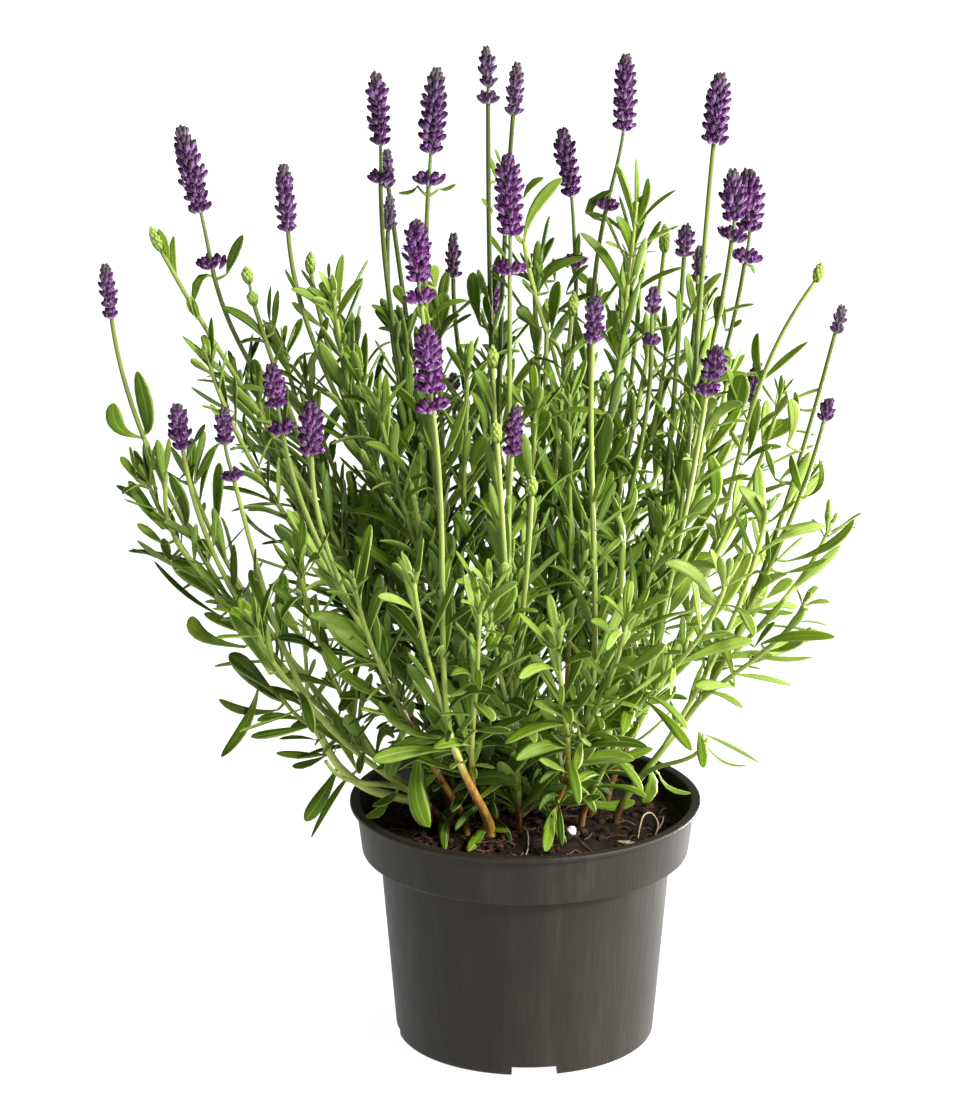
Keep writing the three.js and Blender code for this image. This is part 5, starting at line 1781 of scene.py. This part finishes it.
STEM_SEED = 100
LEAVES_FROM = 9
SHOOT_LEAVES_FROM = 8
CROWN_ROOM = 8
USUAL_SHED = 0.08
TWIG_SHED = 0.3
BARE_BELOW = 192
WIDE_TWIG = 4
WIDE_TWIG_BARE = 56
TWIG_BARE = 6
for order, (name, stem) in enumerate(STEMS.items(), 1):
    chosen = Random(STEM_SEED + order)
    surface = Surface(*LEAF_VALUES)
    trunk = grown[name]["trunk"]
    ground = trunk[0].z
    x, y = stem["foot"]
    # Painted light and shade: a stem is paler the further right and the nearer the front it
    # reaches, and darker at the back, besides a random tone of its own.
    tone_with_painted_light = 0.41 + 0.0011 * trunk[-1].x - 0.0009 * trunk[-1].y + chosen.uniform(-0.05, 0.05)
    woody = stem["woody"]

    def bark_at(point):
        return max(0.0, min(1.0, (ground + woody - point.z) / (woody * 0.45)))

    below = [Vector((x, y, ground - HOLE_DEPTH)), Vector((x, y, ground - 6))]
    stalk(surface, [*below, *trunk], stem.get("foot_radius", TRUNK_FOOT_RADIUS),
          TRUNK_TOP_RADIUS, bark=bark_at, tone=tone_with_painted_light + stem.get("pale", 0.0),
          shade=stem.get("fresh", chosen.uniform(0.05, 0.3)))
    shed = stem.get("shed", USUAL_SHED)
    bare_foot = stem.get("bare", LEAVES_FROM)
    leaf_run(surface, name, chosen, trunk, bare_foot, lengths_of(trunk)[-1], TRUNK_LEAVES,
             tone_with_painted_light, shed)
    first = max(SHOOT_LEAVES_FROM, bare_foot * 0.5)
    # Low shoots grow in the middle of the pot and at its back, and not at its right.
    if hypot(x, y) < 26 or (y > 10 and x < 36):
        low_shoots(surface, name, chosen, trunk, tone_with_painted_light - 0.1)
    for shoot in grown[name]["shoots"]:
        line = shoot["line"]
        length = lengths_of(line)[-1]
        bare = shoot["leafy"] < 1
        shoot_tone = tone_with_painted_light + chosen.uniform(-0.05, 0.12)
        # Painted light and shade: a flower stalk is paler the nearer the front it ends and a little
        # paler to the right, and darker at the back.
        nearness = max(0.0, min(1.0, 0.5 - line[-1].y / 120))
        stalk(surface, line, STALK_FOOT_RADIUS, STALK_TOP_RADIUS, bark=bark_at, shade=0.4,
              tone=0.1 + 0.45 * nearness + 0.0001 * line[-1].x if shoot["spike"]
              else shoot_tone + 0.1)
        if line[-1].z < BARE_BELOW:
            continue
        if bare:
            leaf_run(surface, name, chosen, line, first, length * shoot["leafy"], STALK_LEAVES,
                     shoot_tone, shed)
            if not shoot["spike"]:
                green_bud(surface, chosen, shoot["path"], shoot_tone)
        else:
            leaf_run(surface, name, chosen, line, first, length - CROWN_ROOM, SHOOT_LEAVES,
                     shoot_tone, shed)
            crown(surface, chosen, line, stem.get("crown", 1.0), shoot_tone)
    # A seen twig and its leaves take their tone from how pale it is: its own colour with painted
    # light and shade.
    for line, width, pale in grown[name]["twigs"]:
        stalk(surface, line, width / 2, width / 2 - 0.3, 6, tone=0.25 + 0.75 * pale, shade=0.4)
        leaf_run(surface, name, chosen, line, TWIG_BARE if width < WIDE_TWIG else WIDE_TWIG_BARE,
                 lengths_of(line)[-1] - 4, TWIG_LEAVES, 0.2 + 0.7 * pale, TWIG_SHED)
    for carrier, run, width, pale in grown[name]["leaves"]:
        seen_leaf(surface, chosen, carrier, run, width, pale)
    piece = surface.made(name + "_leafy_stem", foliage)
    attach(piece, "root")
    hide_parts("stem_" + name)

# Flower spikes: whorls of velvety purple calyces round the end of a stalk, some with violet
# petals at their mouths, each whorl cupped by small pale bracts. They grow there, and many
# have one whorl set apart below the head.
SPIKE_SEED = 500
WHORL_GAP = 4.5
LOWER_WHORL = 9
LOWER_WHORL_AT = 2.4
FULL_WHORL = 8
SMALL_WHORL = 7
FIRST_WHORL_AT = 2.6
LAST_WHORL_DEPTH = 3.6
WIDE_HEAD = 11
TIP_CALYCES = 6
TIP_DEPTH = 4.8
LONGEST_CALYX = 6.4
WIDEST_CALYX = 1.3
CALYX_SIDES = 8
CALYX_TURNS = (-0.2, 0.2)
CALYX_TILTS = (0.7, 1.3)
CALYX_LENGTHS = (0.8, 1.12)
CALYX_REACHES = (0.9, 1.08)
CALYX_LIFTS = (-0.6, 0.6)
CALYX_WIDTHS = (0.9, 1.1)
PETAL_SIZES = (0.8, 1.1)
OPEN_SHARE = 0.05
BLOOM_OPEN_SHARE = 0.3
PETALS = 4


def head_shape(u, roundness):
    """The share of its full width that a head has at u from its foot to its tip."""
    return min(1, 0.9 + 0.4 * u) * (1 - 0.55 * u ** roundness)


def petals(surface, mouth, way, size, turn, **values):
    """An open flower: rounded lobes round a short tube, no two alike."""
    side = side_at(way, turn)
    across = way.cross(side)
    for j in range(PETALS):
        spin = j * tau / PETALS + (0.3 if j % 2 else 0)
        out = side * cos(spin) + across * sin(spin)
        flank = way.cross(out)
        wide = size * (0.42 if j % 2 else 0.34)
        rows = []
        for forward, outward, share, t in ((0, 0.3, 0.6, 0.7), (0.55, 0.62, 1.0, 0.8),
                                           (0.75, 0.95, 0.9, 0.9), (0.7, 1.15, 0.4, 1.0)):
            centre = mouth + way * size * forward + out * size * outward
            rows.append([surface.add(centre - flank * wide * share, along=t, petal=1.0, **values),
                         surface.add(centre + flank * wide * share, along=t, petal=1.0, **values)])
        for row, following in zip(rows, rows[1:]):
            surface.faces.append((row[0], row[1], following[1], following[0]))


def bract(surface, foot, way, side, size, **values):
    """A small pointed scale under a whorl."""
    flank = way.cross(side).normalized()
    out = (way * 0.55 + side * 0.85).normalized()
    points = [foot - flank * size * 0.3, foot + flank * size * 0.3,
              foot + out * size * 0.5 + flank * size * 0.34,
              foot + out * size * 0.5 - flank * size * 0.34, foot + out * size + way * size * 0.2]
    a, b, c, d, e = (surface.add(p, along=i * 0.2, green=1.0, **values)
                     for i, p in enumerate(points))
    surface.faces.append((a, b, c, d))
    surface.faces.append((d, c, e))


def whorl(surface, chosen, middle, way, reach, count, spread, bloom, grey, top):
    """A ring of calyces that lean out, a steeper ring within it, and bracts under them."""
    start = chosen.uniform(0, tau)
    long = min(LONGEST_CALYX, 3.4 + reach * 0.4)
    radius = min(WIDEST_CALYX, 0.62 + reach * 0.09)
    for number, tilt, share, lift in ((count, spread, 1.0, 0.0),
                                      (count - 2, spread * 0.45, 0.6, 1.3)):
        for j in range(number):
            turn = start + share + j * tau / number + chosen.uniform(*CALYX_TURNS)
            side = side_at(way, turn)
            angle = tilt * chosen.uniform(*CALYX_TILTS)
            heading = way * cos(angle) + side * sin(angle)
            length = long * chosen.uniform(*CALYX_LENGTHS)
            out = max(0.5, reach * share * chosen.uniform(*CALYX_REACHES) - length * sin(angle))
            foot = (middle + side * out
                    + way * (lift - length * cos(angle) * 0.5 + chosen.uniform(*CALYX_LIFTS)))
            shade = chosen.random()
            calyx(surface, foot, heading, length, radius * chosen.uniform(*CALYX_WIDTHS),
                  CALYX_SIDES, shade=shade, bloom=bloom, grey=grey, top=top)
            may_open = share == 1 and not top
            if may_open and chosen.random() < OPEN_SHARE + BLOOM_OPEN_SHARE * bloom:
                petals(surface, foot + heading * length * 0.92, heading,
                       radius * chosen.uniform(*PETAL_SIZES), chosen.uniform(0, tau),
                       shade=shade, bloom=bloom, grey=grey)
    bracts = max(3, count - 3)
    for j in range(bracts):
        side = side_at(way, start + (j + 0.5) * tau / bracts)
        bract(surface, middle - way * (long * cos(spread) * 0.5 + 0.4) + side * 0.9, way, side,
              1.8 + reach * 0.3, shade=chosen.random(), grey=grey)


FLORET_VALUES = ("along", "shade", "bloom", "grey", "petal", "green", "top", "stem", "rib")
florets = Finish("lavender_floret", Specular_IOR_Level=0.12)
f_along, f_shade, f_bloom, f_grey, f_petal, f_green, f_top, f_stem, f_rib = (
    florets.value_at(word) for word in FLORET_VALUES)
fluff = florets.cloud(1900, 3, 0.6)
blotches = florets.cloud(420, 3, 0.6)
closed = florets.ramp(f_along * 0.84 + blotches * 0.16,
                      (0.13, (0.560, 0.480, 0.470)), (0.29, (0.215, 0.120, 0.270)),
                      (0.50, (0.056, 0.0135, 0.084)), (0.70, (0.026, 0.0027, 0.034)),
                      (0.90, (0.009, 0.0008, 0.011)))
opened = florets.ramp(f_along * 0.8 + blotches * 0.2,
                      (0.12, (0.720, 0.590, 0.660)), (0.29, (0.460, 0.220, 0.520)),
                      (0.50, (0.195, 0.028, 0.220)), (0.72, (0.100, 0.0040, 0.102)),
                      (0.90, (0.054, 0.0016, 0.056)))
calyx_colour = florets.blend(f_bloom * 0.6 + f_shade * 0.4, closed, opened)
# Pale lilac along the ribs below the dark tip: partly the ribs' own paler colour, partly a painted
# highlight.
pale_rib_and_highlight = f_rib * (1 - f_along.ramped(0.5, 0.9)) * (0.25 + f_shade * 0.45)
calyx_colour = florets.blend(pale_rib_and_highlight, calyx_colour, (0.52, 0.40, 0.60))
calyx_colour = florets.blend(f_top * (0.3 + f_shade * 0.5), calyx_colour, (0.12, 0.130, 0.078))
calyx_colour = florets.blend(f_grey * 0.6, calyx_colour, (0.115, 0.100, 0.125))
petal_colour = florets.ramp(f_shade, (0.0, (0.16, 0.050, 0.26)), (0.5, (0.27, 0.10, 0.36)),
                            (1.0, (0.40, 0.19, 0.48)))
bract_colour = florets.ramp(f_shade, (0.0, (0.10, 0.085, 0.045)), (0.5, (0.24, 0.22, 0.12)),
                            (1.0, (0.42, 0.36, 0.26)))
colour = florets.blend(f_petal, calyx_colour, petal_colour)
colour = florets.blend(f_green, colour, bract_colour)
colour = florets.blend(f_stem, colour, (0.14, 0.19, 0.06))
colour = florets.blend(fluff.ramped(0.58, 0.8) * 0.22 * (1 - f_along.ramped(0.5, 0.85)), colour,
                       (0.46, 0.34, 0.54))
florets.shade(Base_Color=colour, Roughness=0.46 + fluff * 0.3)
florets.relief(fluff, 0.25, 0.7)

all_spikes = [(spike, traits) for stem in STEMS.values()
              for spike, traits in stem["spikes"].items()]
for order, (spike, (path, wide, bloom, grey)) in enumerate(all_spikes, 1):
    chosen = Random(SPIKE_SEED + order)
    surface = Surface(*FLORET_VALUES)
    points = [Vector(p) for p in path]
    line = smooth_line(points, 30)
    run = lengths_of(line)
    neck = (points[1] - points[0]).length if len(points) > 2 else 0.0
    reach = wide / 2 * (0.84 + 0.12 * bloom)
    stalk(surface, line[:-3], STALK_TOP_RADIUS, 0.7, 6)
    if neck:
        place, way = at_length(line, run, LOWER_WHORL_AT)
        whorl(surface, chosen, place, way, reach * 1.12, LOWER_WHORL, 0.86, bloom, grey, 0.0)
    length = run[-1] - neck
    count = max(3, round(length / WHORL_GAP))
    for i in range(count):
        u = i / (count - 1)
        closer = u + 0.3 * u * (1 - u)
        within = length - FIRST_WHORL_AT - LAST_WHORL_DEPTH
        place, way = at_length(line, run, neck + FIRST_WHORL_AT + within * closer)
        width = reach * head_shape(u, 2.2 + 3.4 * bloom) * chosen.uniform(0.9, 1.1)
        whorl(surface, chosen, place, way, width,
              FULL_WHORL if wide > WIDE_HEAD and u < 0.8 else SMALL_WHORL,
              0.8 - 0.42 * u + 0.34 * bloom * (1 - 0.4 * u), bloom * (1 - 0.3 * u), grey,
              max(0.0, (u - 0.72) / 0.28) * (1 - 0.75 * bloom))
    place, way = at_length(line, run, run[-1] - TIP_DEPTH)
    for j in range(TIP_CALYCES):
        side = side_at(way, j * tau / TIP_CALYCES + chosen.uniform(-0.3, 0.3))
        calyx(surface, place + side * (0.6 + 0.7 * bloom),
              (way + side * (0.16 + 0.3 * bloom)).normalized(), chosen.uniform(3.4, 4.4),
              0.8 + 0.2 * bloom, 6, shade=chosen.random(), grey=grey, bloom=bloom,
              top=1 - 0.8 * bloom)
    piece = surface.made(spike + "_flower_spike", florets)
    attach(piece, "root")
    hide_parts("spike_" + spike)

# Studio: a pale floor in even white light, with soft lamps in front and to the right, and the
# camera a little over two metres away, looking down 17 degrees through a long lens.
FLOOR_REACH = 9000

floor_finish = Finish("pale_floor", Roughness=0.9, Specular_IOR_Level=0.05,
                      Emission_Color=(1, 1, 1, 1), Emission_Strength=0.97)
floor_tint = floor_finish.cloud(3, 2, 0.5)
floor_finish.shade(Base_Color=floor_finish.ramp(floor_tint, (0.3, (0.24, 0.24, 0.237)),
                                                (0.7, (0.27, 0.27, 0.267))))
ground_surface = Surface()
corners = [ground_surface.add(Vector((x, y, 0)) * FLOOR_REACH)
           for x, y in ((-1, -1), (1, -1), (1, 1), (-1, 1))]
ground_surface.faces.append(tuple(corners))
floor_piece = ground_surface.made("studio_floor", floor_finish)

air = bpy.data.worlds.new("studio_air")
air.use_nodes = True
air.node_tree.nodes["Background"].inputs["Color"].default_value = (1, 1, 1, 1)
air.node_tree.nodes["Background"].inputs["Strength"].default_value = 0.18
bpy.context.scene.world = air


def lamp_at(name, kind, place, target, power):
    lamp = bpy.data.lights.new(name, kind)
    lamp.energy = power
    holder = bpy.data.objects.new(name, lamp)
    holder.location = place
    holder.rotation_euler = (Vector(target) - Vector(place)).to_track_quat("-Z", "Y").to_euler()
    holder.visible_camera = False
    bpy.context.scene.collection.objects.link(holder)
    return lamp


daylight = lamp_at("window_light", "SUN", (2.15, -1.7, 2.0), (0, 0, 0.2), 5.0)
daylight.angle = radians(16)
softbox = lamp_at("right_softbox", "AREA", (2.0, -0.3, 0.7), (0, 0, 0.25), 78)
softbox.shape = "RECTANGLE"
softbox.size = 1.2
softbox.size_y = 1.4
low_lamp = lamp_at("low_lamp", "AREA", (0.5, 0.4, 0.05), (0.06, 0, 0.05), 10)
low_lamp.shape = "RECTANGLE"
low_lamp.size = 0.32
low_lamp.size_y = 0.12

lens = bpy.data.cameras.new("view")
lens.lens = 169.3
lens.sensor_width = 36
camera = bpy.data.objects.new("view", lens)
camera.location = CAMERA_PLACE * MM
camera.rotation_euler = (pi / 2 - CAMERA_PITCH, 0, 0)
bpy.context.scene.collection.objects.link(camera)
bpy.context.scene.camera = camera
bpy.context.scene.view_settings.view_transform = "Standard"
